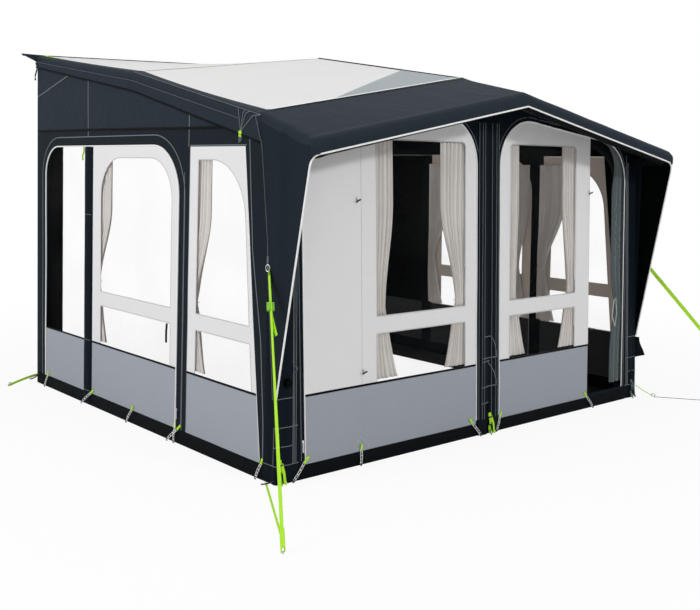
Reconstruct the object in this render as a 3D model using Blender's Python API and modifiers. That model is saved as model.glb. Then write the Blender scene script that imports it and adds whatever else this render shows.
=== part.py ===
"""Caravan awning: an inflatable front awning that joins the side of a touring caravan.

Metres, +Z up. The origin is on the ground, in the middle of the front wall's base line.
+X runs to the right along the front, +Y runs back to the caravan, and the front faces -Y.
The left and right walls mirror each other, apart from the blind behind the right rear window.
"""
import math

import bmesh
import bpy
from mathutils import Matrix, Vector

# Overall size
BASE_WIDTH = 3.3
BASE_DEPTH = 3.0
SIDE_LEAN = 0.025
FRONT_LEAN = 0.039

# Fabric, clear foil and the gap between touching pieces
FABRIC = 0.004
FOIL = 0.002
GAP = 0.0003
ROOF_SEAM = 0.0016
CURTAIN_CLOTH = 0.003

# Heights that run round the walls
BASE_BAND = 0.10
MUD_TOP = 0.445
SIDE_BAR_LOW = 0.702
SIDE_BAR_HIGH = 0.802
FRONT_BAR_LOW = 0.72
FRONT_BAR_HIGH = 0.822
FOIL_LAP = 0.015

# Roof: eave and ridge heights at the hood line, the mid crease and the rail
EAVE_HOOD_HEIGHT = 1.916
EAVE_CREASE_HEIGHT = 2.205
EAVE_RAIL_HEIGHT = 2.41
RIDGE_HOOD_HEIGHT = 2.20
RIDGE_CREASE_HEIGHT = 2.425
RIDGE_RAIL_HEIGHT = 2.46
EAVE_HOOD_DEPTH = 0.22
RIDGE_HOOD_DEPTH = 0.31
EAVE_CREASE_DEPTH = 1.56
RIDGE_CREASE_DEPTH = 1.72
ROOF_SAG = 0.012
EAVE_SLACK = 0.02

# Hood: the brow line in front of the wall, its rounding and its drop to the piping
HOOD_REACH = 0.225
BROW_EDGE_DROP = 0.136
BROW_PEAK_DROP = 0.105
BROW_ROUNDING = 0.055
HOOD_DROP = 0.085
WING_FOOT = 0.45
HOOD_SLACK = 0.0008
BROW_EDGE_HEIGHT = EAVE_HOOD_HEIGHT - BROW_EDGE_DROP
BROW_PEAK_HEIGHT = RIDGE_HOOD_HEIGHT - BROW_PEAK_DROP

# Eave band that hangs over each side wall
BAND_OVER = 0.07
BAND_STAND_OFF = 0.012
BAND_ROUNDING = 0.03
BAND_DROP_FRONT = 0.15
BAND_DROP_REAR = 0.085

# Corner and centre sleeves
CORNER_SIDE = 0.115
CORNER_FRONT = 0.15
CORNER_ROUNDING = 0.025
SLEEVE_DROP = 0.066
SLEEVE_TOP = EAVE_HOOD_HEIGHT - SLEEVE_DROP
CENTRE_SLEEVE_WIDTH = 0.19
CENTRE_SLEEVE_DROP = 0.27
CENTRE_SLEEVE_TOP = RIDGE_HOOD_HEIGHT - CENTRE_SLEEVE_DROP
CENTRE_SLEEVE_BULGE = 0.012

# Air frame
POLE_RADIUS = 0.065
POLE_FOOT = 0.03
POLE_BEND = 0.33
POLE_ROOF_DROP = 0.085
POLE_REAR_GAP = 0.075
BROW_BEAM_RADIUS = 0.048
BROW_BEAM_TURN = 0.06

# Side wall panels, measured back from the front corner, with one head line under the eave
SIDE_HEAD = 0.161
SIDE_HEAD_HEIGHT = EAVE_HOOD_HEIGHT - SIDE_HEAD
REAR_POST = 0.16
REAR_COLUMN = 0.12
SIDE_COLUMN = 0.11
REAR_PANEL_TOP = SIDE_HEAD_HEIGHT
REAR_PANEL_ROUNDING = 0.20
SIDE_DOOR_FRONT = 1.0
SIDE_DOOR_REAR = 2.10
REAR_PANEL_FRONT = SIDE_DOOR_REAR + REAR_COLUMN
REAR_PANEL_REAR = BASE_DEPTH - REAR_POST
SIDE_DOOR_TOP = SIDE_HEAD_HEIGHT
SIDE_DOOR_ROUNDING = 0.30
SIDE_WINDOW_FRONT_BORDER = 0.085
SIDE_WINDOW_REAR_BORDER = 0.123
SIDE_WINDOW_FRONT = SIDE_DOOR_FRONT + SIDE_WINDOW_FRONT_BORDER
SIDE_WINDOW_REAR = SIDE_DOOR_REAR - SIDE_WINDOW_REAR_BORDER
SIDE_WINDOW_BORDER = 0.078
SIDE_WINDOW_TOP = SIDE_DOOR_TOP - SIDE_WINDOW_BORDER
SIDE_WINDOW_ROUNDING = 0.25
SIDE_FRONT_REAR = SIDE_DOOR_FRONT - SIDE_COLUMN
SIDE_FRONT_DROP = 0.01
SIDE_FRONT_TOP = SIDE_HEAD_HEIGHT - SIDE_FRONT_DROP
SIDE_FRONT_TOP_EDGE = 0.341
SIDE_FRONT_BASE_EDGE = 0.145
SMALL_WINDOW_REAR_BORDER = 0.09
SMALL_WINDOW_REAR = SIDE_FRONT_REAR - SMALL_WINDOW_REAR_BORDER
SMALL_WINDOW_BORDER = 0.075
SMALL_WINDOW_TOP = SIDE_FRONT_TOP - SMALL_WINDOW_BORDER
SMALL_WINDOW_TOP_EDGE = 0.36
SMALL_WINDOW_BASE_EDGE = 0.235
SMALL_WINDOW_ROUNDING = 0.33

# Front wall bays, measured from the middle
BAY_INNER = 0.107
BAY_POST = 0.195
BAY_OUTER = BASE_WIDTH / 2 - BAY_POST
BAY_INNER_DROP = 0.215
BAY_OUTER_DROP = 0.106
BAY_INNER_TOP = RIDGE_HOOD_HEIGHT - BAY_INNER_DROP
BAY_OUTER_TOP = EAVE_HOOD_HEIGHT - BAY_OUTER_DROP
BAY_ROUNDING = 0.28
DOOR_LEAF_WIDTH = 0.41
DOOR_SEAM = BAY_OUTER - DOOR_LEAF_WIDTH
FRONT_WINDOW_INNER_BORDER = 0.103
FRONT_WINDOW_INNER = BAY_INNER + FRONT_WINDOW_INNER_BORDER
FRONT_WINDOW_OUTER_BORDER = 0.115
FRONT_WINDOW_OUTER = DOOR_SEAM - FRONT_WINDOW_OUTER_BORDER
FRONT_WINDOW_BORDER = 0.081
FRONT_WINDOW_ROUNDING = 0.025

# Rear seal pads, rail bead and ground flaps
PAD_WIDTH = 0.18
PAD_DEPTH = 0.06
PAD_HEAD = 0.14
PAD_TOP = EAVE_RAIL_HEIGHT - PAD_HEAD
PAD_ROUNDING = 0.012
RAIL_BEAD_RADIUS = 0.0035
RAIL_BEAD_OVERHANG = 0.105
FLAP_WIDTH = 0.37
FLAP_FRONT = 0.22
FLAP_REAR_GAP = 0.08
FLAP_REAR = BASE_DEPTH - FLAP_REAR_GAP
FLAP_THICKNESS = 0.003

# Curtains
CURTAIN_RISE = 0.008
CURTAIN_LAP = 0.08
CURTAIN_HEM = 0.46
CURTAIN_TIE_HEIGHT = 0.86
CURTAIN_FOLD = 0.013
CURTAIN_WIDE = 0.21
CURTAIN_NARROW = 0.14
CURTAIN_TIE_WIDTH = 0.09
CURTAIN_HEM_WIDTH = 0.14
CURTAIN_EDGE = 0.012

# Mesh door, tied back beside the open doorway
MESH_WIDTH = 0.17
MESH_HEAD = 0.10
MESH_TOP = BAY_OUTER_TOP - MESH_HEAD
MESH_HEM = 0.13
MESH_FOLD = 0.012
MESH_EDGE = 0.02

# Storm straps, base ties and their buckles
STRAP_WIDTH = 0.025
STRAP_THICKNESS = 0.003
STORM_HEIGHT = 1.10
STORM_SIDE_REACH = 0.49
STORM_FRONT_REACH = 0.70
STORM_GROUND_CLEAR = 0.002
BUCKLE_LENGTH = 0.045
BUCKLE_WIDTH = 0.038
BUCKLE_THICKNESS = 0.014
BUCKLE_CLEARANCE = 0.0005
BUCKLE_DISTANCE = 0.18
TIE_TOP = 0.20
TIE_BUCKLE_LOW = 0.06
TIE_BUCKLE_HIGH = 0.11
TIE_BUCKLE_DEPTH = 0.016

# Zip sliders
SLIDER_WIDTH = 0.010
SLIDER_LENGTH = 0.020
SLIDER_DEPTH = 0.007
PULL_LENGTH = 0.045
PULL_DEPTH = 0.0025
SLIDER_EDGE = 0.016
SLIDER_SILL = 0.09

# Inflation valve on the left leg
VALVE_RADIUS = 0.022
VALVE_RIM = 0.026
VALVE_DEPTH = 0.012
VALVE_BASE = 0.003
VALVE_HEIGHT = 0.53
VALVE_INSET = 0.085
CAP_RADIUS = 0.021
CAP_DEPTH = 0.006

# Points nearer than this are one point
MERGE_DISTANCE = 0.00001

# Shape counts
TUBE_SIDES = 4
ARC_STEPS = 6


def reset_scene():
    for item in list(bpy.data.objects):
        bpy.data.objects.remove(item, do_unlink=True)


def new_collection(name):
    group = bpy.data.collections.new(name)
    bpy.context.scene.collection.children.link(group)
    return group


def material(name, colour, roughness, metallic=0.0, alpha=1.0):
    made = bpy.data.materials.new(name)
    made.use_nodes = True
    shader = made.node_tree.nodes["Principled BSDF"]
    shader.inputs["Base Color"].default_value = (*colour, 1.0)
    shader.inputs["Roughness"].default_value = roughness
    shader.inputs["Metallic"].default_value = metallic
    shader.inputs["Alpha"].default_value = alpha
    made.diffuse_color = (*colour, alpha)
    return made


reset_scene()
PARTS = new_collection("caravan_awning")
CUTTERS = new_collection("cutters")

DARK_FABRIC = ("dark_fabric", (0.016, 0.024, 0.032), 0.75)
LIGHT_FABRIC = ("light_fabric", (0.72, 0.72, 0.74), 0.7)
ROOF_FABRIC = ("roof_fabric", (0.78, 0.78, 0.76), 0.65)
MUD_FABRIC = ("mud_fabric", (0.27, 0.30, 0.35), 0.5)
CLEAR_FOIL = ("clear_foil", (0.85, 0.88, 0.9), 0.08)
BLIND_FABRIC = ("blind_fabric", (0.006, 0.006, 0.008), 0.7)
CURTAIN_FABRIC = ("curtain_fabric", (0.50, 0.46, 0.41), 0.85)
MESH_FABRIC = ("mesh_fabric", (0.10, 0.15, 0.16), 0.8)
AIR_SLEEVE = ("air_sleeve", (0.05, 0.055, 0.06), 0.6)
PAD_FABRIC = ("pad_fabric", (0.012, 0.013, 0.015), 0.8)
FLAP_FABRIC = ("flap_fabric", (0.03, 0.031, 0.034), 0.6)
BEAD_CORD = ("bead_cord", (0.02, 0.022, 0.025), 0.5)
LIME_WEBBING = ("lime_webbing", (0.38, 0.76, 0.03), 0.7)
BLACK_PLASTIC = ("black_plastic", (0.01, 0.01, 0.012), 0.4)
ZIP_METAL = ("zip_metal", (0.35, 0.36, 0.37), 0.35, 0.9)


def add_part(name, mesh, finish):
    part = bpy.data.objects.new(name, mesh)
    PARTS.objects.link(part)
    mesh.materials.clear()
    mesh.materials.append(material(name + "_" + finish[0], *finish[1:]))
    return part


def set_origin(part, point):
    """Moves a part's origin to a point on its joint's axis."""
    part.data.transform(Matrix.Translation(-Vector(point)))
    part.location = point


# Wall planes: u runs along the wall, v runs up it and n points out of it
def wall_matrix(along, up, out, base):
    columns = (Vector(along), Vector(up), Vector(out), Vector(base))
    rows = [[column[row] for column in columns] for row in range(3)]
    return Matrix(rows + [[0, 0, 0, 1]])


LEFT = wall_matrix((0, 1, 0), (SIDE_LEAN, 0, 1), (-1, 0, 0), (-BASE_WIDTH / 2, 0, 0))
RIGHT = wall_matrix((0, 1, 0), (-SIDE_LEAN, 0, 1), (1, 0, 0), (BASE_WIDTH / 2, 0, 0))
FRONT = wall_matrix((1, 0, 0), (0, FRONT_LEAN, 1), (0, -1, 0), (0, 0, 0))
SIDES = (("left", LEFT, -1), ("right", RIGHT, 1))


def to_wall(mesh, wall):
    mesh.transform(wall)
    if wall.determinant() < 0:
        mesh.flip_normals()
    return mesh


def on_wall(wall, u, v, n):
    return wall @ Vector((u, v, n))


def lerp(low, high, share):
    return low + (high - low) * share


def rounded(corners, grow=0.0):
    """Points of an anticlockwise outline, pushed out by grow, with each corner's radius."""
    count = len(corners)
    moved = []
    for index in range(count):
        before = Vector(corners[index - 1][:2])
        here = Vector(corners[index][:2])
        after = Vector(corners[(index + 1) % count][:2])
        first = (here - before).normalized()
        second = (after - here).normalized()
        first_out = Vector((first.y, -first.x))
        second_out = Vector((second.y, -second.x))
        across = 1 + first_out.dot(second_out)
        moved.append((here + (first_out + second_out) * (grow / across), first, second))
    points = []
    for (corner, first, second), (_, _, radius) in zip(moved, corners):
        turn = first.angle_signed(second)
        if radius <= 0 or abs(turn) < 1e-4:
            points.append(tuple(corner))
            continue
        radius = radius + (grow if turn < 0 else -grow)
        reach = radius * math.tan(abs(turn) / 2)
        side = 1 if turn < 0 else -1
        inward = Vector((-first.y, first.x)) * side
        centre = corner - first * reach + inward * radius
        steps = max(2, round(ARC_STEPS * abs(turn) / (math.pi / 2)))
        spoke = -inward * radius
        for step in range(steps + 1):
            angle = side * abs(turn) * step / steps
            points.append(tuple(centre + Matrix.Rotation(angle, 2) @ spoke))
    return points


def flat_sheet(outlines, low, high):
    """A flat sheet between two heights over its own plane, with holes after the first outline."""
    curve = bpy.data.curves.new("outline", "CURVE")
    curve.dimensions = "2D"
    curve.fill_mode = "BOTH"
    curve.extrude = (high - low) / 2
    for points in outlines:
        spline = curve.splines.new("POLY")
        spline.points.add(len(points) - 1)
        spline.use_cyclic_u = True
        for point, place in zip(spline.points, points):
            point.co = (place[0], place[1], 0, 1)
    holder = bpy.data.objects.new("outline", curve)
    PARTS.objects.link(holder)
    bpy.context.view_layer.update()
    ready = holder.evaluated_get(bpy.context.evaluated_depsgraph_get())
    mesh = bpy.data.meshes.new_from_object(ready)
    bpy.data.objects.remove(holder, do_unlink=True)
    bpy.data.curves.remove(curve)
    return close_mesh(mesh, Matrix.Translation((0, 0, (low + high) / 2)))


def close_mesh(mesh, move=None):
    work = bmesh.new()
    work.from_mesh(mesh)
    bmesh.ops.remove_doubles(work, verts=work.verts, dist=MERGE_DISTANCE)
    bmesh.ops.recalc_face_normals(work, faces=work.faces)
    work.to_mesh(mesh)
    work.free()
    if move is not None:
        mesh.transform(move)
    return mesh


def wall_sheet(name, finish, wall, outlines, low, high):
    return add_part(name, to_wall(flat_sheet(outlines, low, high), wall), finish)


def cloth(name, finish, columns, rows, place, thickness, out, offset=-1.0):
    """A sheet over a grid that faces out: place gives the point for shares across and along it."""
    mesh = bpy.data.meshes.new(name)
    work = bmesh.new()
    bmesh.ops.create_grid(work, x_segments=columns, y_segments=rows, size=1)
    for vert in work.verts:
        vert.co = place((vert.co.x + 1) / 2, (vert.co.y + 1) / 2)
    work.normal_update()
    facing = sum((face.normal * face.calc_area() for face in work.faces), Vector())
    if facing.dot(Vector(out)) < 0:
        bmesh.ops.reverse_faces(work, faces=work.faces)
    work.to_mesh(mesh)
    work.free()
    part = add_part(name, mesh, finish)
    wall = part.modifiers.new("cloth", "SOLIDIFY")
    wall.thickness = thickness
    wall.offset = offset
    return part


def tube(name, finish, path, radius, sides=TUBE_SIDES):
    """A round tube along a path, with flat ends."""
    curve = bpy.data.curves.new(name, "CURVE")
    curve.dimensions = "3D"
    curve.bevel_depth = radius
    curve.bevel_resolution = sides
    curve.use_fill_caps = True
    spline = curve.splines.new("POLY")
    spline.points.add(len(path) - 1)
    for point, place in zip(spline.points, path):
        point.co = (*place, 1)
    holder = bpy.data.objects.new(name, curve)
    PARTS.objects.link(holder)
    bpy.context.view_layer.update()
    ready = holder.evaluated_get(bpy.context.evaluated_depsgraph_get())
    mesh = close_mesh(bpy.data.meshes.new_from_object(ready))
    bpy.data.objects.remove(holder, do_unlink=True)
    part = add_part(name, mesh, finish)
    mesh.shade_smooth()
    return part


def block(low, high, rounding=0.0):
    """A box between two corners, with rounded edges where asked."""
    low = Vector(low)
    size = Vector(high) - low
    mesh = bpy.data.meshes.new("block")
    work = bmesh.new()
    bmesh.ops.create_cube(work, size=1)
    half = Vector((0.5, 0.5, 0.5))
    for vert in work.verts:
        vert.co = low + Vector(a * b for a, b in zip(vert.co + half, size))
    if rounding:
        bmesh.ops.bevel(work, geom=work.edges[:], offset=rounding, segments=2, affect="EDGES")
    work.to_mesh(mesh)
    work.free()
    return mesh


def cylinder(radius, low, high, segments=24):
    mesh = bpy.data.meshes.new("cylinder")
    work = bmesh.new()
    bmesh.ops.create_cone(
        work, cap_ends=True, segments=segments, radius1=radius, radius2=radius, depth=high - low
    )
    work.to_mesh(mesh)
    work.free()
    mesh.transform(Matrix.Translation((0, 0, (low + high) / 2)))
    return mesh


def boolean(part, mesh, operation):
    """Cuts a part with a mesh, or joins the mesh to it."""
    cutter = bpy.data.objects.new(part.name + "_" + operation.lower(), mesh)
    CUTTERS.objects.link(cutter)
    cutter.hide_render = True
    cutter.display_type = "WIRE"
    bpy.context.view_layer.update()
    cutter.matrix_world = part.matrix_world.copy()
    change = part.modifiers.new(operation.lower(), "BOOLEAN")
    change.operation = operation
    change.solver = "EXACT"
    change.object = cutter


# Roof surface
def side_reach(height):
    return BASE_WIDTH / 2 - SIDE_LEAN * height


def hood_line(share):
    """Depth and height of the seam between roof and hood, from ridge (0) to eave (1)."""
    return (
        lerp(RIDGE_HOOD_DEPTH, EAVE_HOOD_DEPTH, share),
        lerp(RIDGE_HOOD_HEIGHT, EAVE_HOOD_HEIGHT, share),
    )


def crease_line(share):
    return (
        lerp(RIDGE_CREASE_DEPTH, EAVE_CREASE_DEPTH, share),
        lerp(RIDGE_CREASE_HEIGHT, EAVE_CREASE_HEIGHT, share),
    )


def rail_line(share):
    return BASE_DEPTH, lerp(RIDGE_RAIL_HEIGHT, EAVE_RAIL_HEIGHT, share)


def roof_line(share, depth):
    """The two lines across the roof that a depth lies between, and its share of the way."""
    near, far = crease_line(share), rail_line(share)
    if depth < near[0]:
        near, far = hood_line(share), near
    return near, far, (depth - near[0]) / (far[0] - near[0])


def roof_height(share, depth):
    """Height of the roof between the ridge (0) and the eave (1)."""
    near, far, part_way = roof_line(share, depth)
    sag = ROOF_SAG * math.sin(math.pi * max(part_way, 0)) * math.sin(math.pi * min(share, 1))
    return lerp(near[1], far[1], part_way) - sag


def roof_depth(share, along):
    """Depth of a row of the roof, from the hood line (0) over the crease (0.5) to the rail (1)."""
    near, far = (hood_line, crease_line) if along < 0.5 else (crease_line, rail_line)
    part_way = along * 2 if along < 0.5 else along * 2 - 1
    depth = lerp(near(share)[0], far(share)[0], part_way)
    return depth + ROOF_SEAM if along == 0 else depth


BROW_DEPTH = BROW_ROUNDING - HOOD_REACH


def brow_height(share):
    return lerp(BROW_PEAK_HEIGHT, BROW_EDGE_HEIGHT, share)


def hood_top(share, depth):
    """Height of the hood's top between the brow's rounding and the hood line."""
    line_depth, line_height = hood_line(share)
    part_way = (depth - BROW_DEPTH) / (line_depth - BROW_DEPTH)
    return lerp(brow_height(share), line_height, part_way)


def hood_section(share, along):
    """Depth and height across the hood, from the hood line (0) to the piping (1)."""
    top_share = 0.2
    arc_share = 0.8
    line_depth, line_height = hood_line(share)
    brow = brow_height(share)
    if along <= top_share:
        part_way = along / top_share
        return lerp(line_depth, BROW_DEPTH, part_way), lerp(line_height, brow, part_way)
    if along <= arc_share:
        angle = math.pi / 2 * (along - top_share) / (arc_share - top_share)
        return (
            BROW_DEPTH - BROW_ROUNDING * math.sin(angle),
            brow - BROW_ROUNDING * (1 - math.cos(angle)),
        )
    part_way = (along - arc_share) / (1 - arc_share)
    return -HOOD_REACH, brow - lerp(BROW_ROUNDING, HOOD_DROP, part_way)


EAVE_REACH = side_reach(EAVE_CREASE_HEIGHT)
ROOF_EDGE = EAVE_REACH - BAND_OVER


def roof_panel():
    edge = ROOF_EDGE - GAP

    def place(across, along):
        side = across * 2 - 1
        share = abs(side) * edge / EAVE_REACH
        depth = roof_depth(share, along)
        return Vector((side * edge, depth, roof_height(share, depth)))

    cloth("roof_panel", ROOF_FABRIC, 12, 8, place, FABRIC, (0, 0, 1))


def hood_cover():
    def place(across, along):
        side = across * 2 - 1
        depth, height = hood_section(abs(side), along)
        reach = side_reach(height) + FABRIC / 2
        return Vector((side * reach, depth, height))

    cloth("hood_cover", DARK_FABRIC, 12, 10, place, FABRIC, (0, -1, 1))


def hood_wing(label, wall):
    inner = HOOD_REACH - FABRIC - GAP * 2
    back = -FABRIC / 2 - GAP
    top_back = FRONT_LEAN * SLEEVE_TOP + back
    top = hood_top(1, top_back) - FABRIC * 1.5
    brow = brow_height(1) - FABRIC * 1.5
    front = [
        (back + FRONT_LEAN * WING_FOOT, WING_FOOT, 0),
        (top_back, top, 0),
        (BROW_DEPTH, brow, 0),
        (-inner, brow, BROW_ROUNDING),
        (-inner, brow_height(1) - HOOD_DROP, 0),
    ]
    wall_sheet(label + "_hood_wing", DARK_FABRIC, wall, [rounded(front)], -FABRIC / 2, FABRIC / 2)


def eave_band(label, side):
    """The dark band over an eave: along the roof's edge, round the corner and down the wall."""
    top_share = 0.2
    arc_share = 0.8

    def place(across, along):
        outer = side_reach(roof_height(1, roof_depth(1, along))) + BAND_STAND_OFF
        centre = outer - BAND_ROUNDING
        turn = min(max((across - top_share) / (arc_share - top_share), 0), 1) * math.pi / 2
        reach = lerp(ROOF_EDGE, centre, min(across / top_share, 1))
        depth = roof_depth(reach / EAVE_REACH, along)
        height = roof_height(reach / EAVE_REACH, depth)
        height -= BAND_ROUNDING * (1 - math.cos(turn))
        if across > arc_share:
            drop = lerp(BAND_DROP_FRONT, BAND_DROP_REAR, along) - BAND_ROUNDING
            height -= drop * (across - arc_share) / (1 - arc_share)
        return Vector((side * (reach + BAND_ROUNDING * math.sin(turn)), depth, height))

    cloth(label + "_eave_band", DARK_FABRIC, 10, 8, place, FABRIC, (side, 0, 1))


def rail_bead():
    path = []
    reach = EAVE_REACH + RAIL_BEAD_OVERHANG
    steps = 12
    for step in range(steps + 1):
        across = lerp(-reach, reach, step / steps)
        height = roof_height(abs(across) / EAVE_REACH, BASE_DEPTH) - FABRIC / 2
        path.append((across, BASE_DEPTH + GAP + RAIL_BEAD_RADIUS, height))
    tube("rail_bead", BEAD_CORD, path, RAIL_BEAD_RADIUS)


# Air frame
def pole_inset(v):
    return POLE_RADIUS + FABRIC / 2 + GAP + v


def bend(first, corner, last, steps=5):
    """Points on a smooth bend that leaves first towards corner and ends at last."""
    points = []
    for step in range(steps + 1):
        share = step / steps
        start = Vector(first).lerp(Vector(corner), share)
        end = Vector(corner).lerp(Vector(last), share)
        points.append(start.lerp(end, share))
    return points


def air_pole(name, reach, run_height):
    """A front leg that bends into a roof run; reach gives the pole's side place at a height."""
    inset = pole_inset(0)
    foot_y = FRONT_LEAN * POLE_FOOT + inset
    path = [Vector((reach(POLE_FOOT), foot_y, 0)), Vector((reach(POLE_FOOT), foot_y, POLE_FOOT))]
    run_start = inset + POLE_BEND
    corner_y = FRONT_LEAN * run_height(inset) + inset
    corner = Vector((0, corner_y, run_height(corner_y)))
    leg_top = corner.z - POLE_BEND
    leg = Vector((reach(leg_top), FRONT_LEAN * leg_top + inset, leg_top))
    corner.x = reach(corner.z)
    run = Vector((reach(run_height(run_start)), run_start, run_height(run_start)))
    path.extend(bend(leg, corner, run))
    steps = 6
    for step in range(1, steps + 1):
        depth = lerp(run_start, BASE_DEPTH - POLE_REAR_GAP, step / steps)
        path.append(Vector((reach(run_height(depth)), depth, run_height(depth))))
    return tube(name, AIR_SLEEVE, path, POLE_RADIUS)


def air_frame():
    for label, _, side in SIDES:
        def reach(height, side=side):
            return side * (side_reach(height) - pole_inset(0))

        air_pole(label + "_air_pole", reach, lambda depth: roof_height(1, depth) - POLE_ROOF_DROP)
    air_pole("centre_air_pole", lambda height: 0, lambda depth: roof_height(0, depth) - POLE_ROOF_DROP)


def brow_beam():
    """The air beam under the hood's brow, turned back at both ends to the corner sleeves."""
    drop = BROW_ROUNDING
    end_reach = side_reach(BROW_EDGE_HEIGHT) - BROW_BEAM_RADIUS - FABRIC * 2
    half = []
    for share in (0, 0.25, 0.5, 0.75):
        half.append(Vector((share * EAVE_REACH, BROW_DEPTH, brow_height(share) - drop)))
    turn_share = (end_reach - BROW_BEAM_TURN) / EAVE_REACH
    end_height = brow_height(1) - drop
    first = Vector((end_reach - BROW_BEAM_TURN, BROW_DEPTH, brow_height(turn_share) - drop))
    corner = Vector((end_reach, BROW_DEPTH, end_height))
    after = Vector((end_reach, BROW_DEPTH + BROW_BEAM_TURN, end_height))
    half.extend(bend(first, corner, after, 4))
    low = end_height - BROW_BEAM_RADIUS
    half.append(Vector((end_reach, FRONT_LEAN * low - FABRIC / 2 - GAP, end_height)))
    mirrored = [Vector((-point.x, point.y, point.z)) for point in reversed(half[1:])]
    tube("brow_air_beam", AIR_SLEEVE, mirrored + half, BROW_BEAM_RADIUS)


def inflation_valve():
    across = -(BASE_WIDTH / 2 - VALVE_INSET)
    face = FABRIC / 2 + GAP
    place = Matrix.Translation((across, VALVE_HEIGHT, 0))
    body = cylinder(VALVE_RIM, face, face + VALVE_BASE)
    neck = cylinder(VALVE_RADIUS, face, face + VALVE_DEPTH)
    for mesh in (body, neck):
        mesh.transform(place)
        to_wall(mesh, FRONT)
    valve = add_part("inflation_valve", body, BLACK_PLASTIC)
    boolean(valve, neck, "UNION")
    cap_face = face + VALVE_DEPTH + GAP
    cap_mesh = cylinder(CAP_RADIUS, cap_face, cap_face + CAP_DEPTH)
    cap_mesh.transform(place)
    cap = add_part("valve_cap", to_wall(cap_mesh, FRONT), BLACK_PLASTIC)
    set_origin(cap, on_wall(FRONT, across, VALVE_HEIGHT + CAP_RADIUS, cap_face))


# Walls
REAR_PANEL = [
    (REAR_PANEL_FRONT, BASE_BAND, 0),
    (REAR_PANEL_REAR, BASE_BAND, 0),
    (REAR_PANEL_REAR, REAR_PANEL_TOP, REAR_PANEL_ROUNDING),
    (REAR_PANEL_FRONT, REAR_PANEL_TOP, 0),
]
SIDE_DOOR = [
    (SIDE_DOOR_FRONT, BASE_BAND, 0),
    (SIDE_DOOR_REAR, BASE_BAND, 0),
    (SIDE_DOOR_REAR, SIDE_DOOR_TOP, 0),
    (SIDE_DOOR_FRONT, SIDE_DOOR_TOP, SIDE_DOOR_ROUNDING),
]
SIDE_FRONT = [
    (SIDE_FRONT_BASE_EDGE, BASE_BAND, 0),
    (SIDE_FRONT_REAR, BASE_BAND, 0),
    (SIDE_FRONT_REAR, SIDE_FRONT_TOP, 0),
    (SIDE_FRONT_TOP_EDGE, SIDE_FRONT_TOP, 0),
]


def slope_edge(low_edge, low, high_edge, high, height):
    return lerp(low_edge, high_edge, (height - low) / (high - low))


def side_window(low, high, top_rounding):
    return [
        (SIDE_WINDOW_FRONT, low, 0),
        (SIDE_WINDOW_REAR, low, 0),
        (SIDE_WINDOW_REAR, high, top_rounding),
        (SIDE_WINDOW_FRONT, high, top_rounding),
    ]


def small_window(low, high, top_rounding):
    def edge(height):
        return slope_edge(
            SMALL_WINDOW_BASE_EDGE, MUD_TOP, SMALL_WINDOW_TOP_EDGE, SMALL_WINDOW_TOP, height
        )

    return [
        (edge(low), low, 0),
        (SMALL_WINDOW_REAR, low, 0),
        (SMALL_WINDOW_REAR, high, 0),
        (edge(high), high, top_rounding),
    ]


def front_window(side, low, high, top_rounding):
    inner = side * FRONT_WINDOW_INNER
    outer = side * FRONT_WINDOW_OUTER
    first, last = min(inner, outer), max(inner, outer)
    return [
        (first, low, 0),
        (last, low, 0),
        (last, high, top_rounding),
        (first, high, top_rounding),
    ]


def bay_top(across):
    share = (across - BAY_INNER) / (BAY_OUTER - BAY_INNER)
    return lerp(BAY_INNER_TOP, BAY_OUTER_TOP, share)


def arch_drop(across):
    """How far a bay's rounded inner corner lies below its top line, near the middle leg."""
    level = BAY_ROUNDING - (across - BAY_INNER)
    return BAY_ROUNDING - math.sqrt(BAY_ROUNDING ** 2 - level ** 2)


FRONT_WINDOW_TOP = (
    min(bay_top(FRONT_WINDOW_INNER) - arch_drop(FRONT_WINDOW_INNER), bay_top(FRONT_WINDOW_OUTER))
    - FRONT_WINDOW_BORDER
)
CURTAIN_TOP = FRONT_WINDOW_TOP + CURTAIN_RISE


def mirrored_outline(corners, side):
    """Turns an outline for the right half into one for the left half where side is -1."""
    if side > 0:
        return corners
    return [(-u, v, radius) for u, v, radius in reversed(corners)]


def bay(side):
    return mirrored_outline(
        [
            (BAY_INNER, BASE_BAND, 0),
            (BAY_OUTER, BASE_BAND, 0),
            (BAY_OUTER, bay_top(BAY_OUTER), BAY_ROUNDING),
            (BAY_INNER, bay_top(BAY_INNER), BAY_ROUNDING),
        ],
        side,
    )


def window_panel(side):
    return mirrored_outline(
        [
            (BAY_INNER, BASE_BAND, 0),
            (DOOR_SEAM, BASE_BAND, 0),
            (DOOR_SEAM, bay_top(DOOR_SEAM), 0),
            (BAY_INNER, bay_top(BAY_INNER), BAY_ROUNDING),
        ],
        side,
    )


def door_leaf(side):
    return mirrored_outline(
        [
            (DOOR_SEAM, BASE_BAND, 0),
            (BAY_OUTER, BASE_BAND, 0),
            (BAY_OUTER, bay_top(BAY_OUTER), BAY_ROUNDING),
            (DOOR_SEAM, bay_top(DOOR_SEAM), 0),
        ],
        side,
    )


def side_frame(label, wall):
    outer = [
        (CORNER_SIDE + GAP, 0, 0),
        (BASE_DEPTH, 0, 0),
        (BASE_DEPTH, EAVE_RAIL_HEIGHT - EAVE_SLACK, 0),
        (EAVE_CREASE_DEPTH, EAVE_CREASE_HEIGHT - EAVE_SLACK, 0),
        (EAVE_HOOD_DEPTH, EAVE_HOOD_HEIGHT - EAVE_SLACK, 0),
        (CORNER_SIDE + GAP, hood_top(1, CORNER_SIDE) - EAVE_SLACK, 0),
    ]
    holes = [rounded(REAR_PANEL), rounded(SIDE_DOOR), rounded(SIDE_FRONT)]
    wall_sheet(
        label + "_wall_frame", DARK_FABRIC, wall, [rounded(outer)] + holes, -FABRIC / 2, FABRIC / 2
    )


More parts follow.
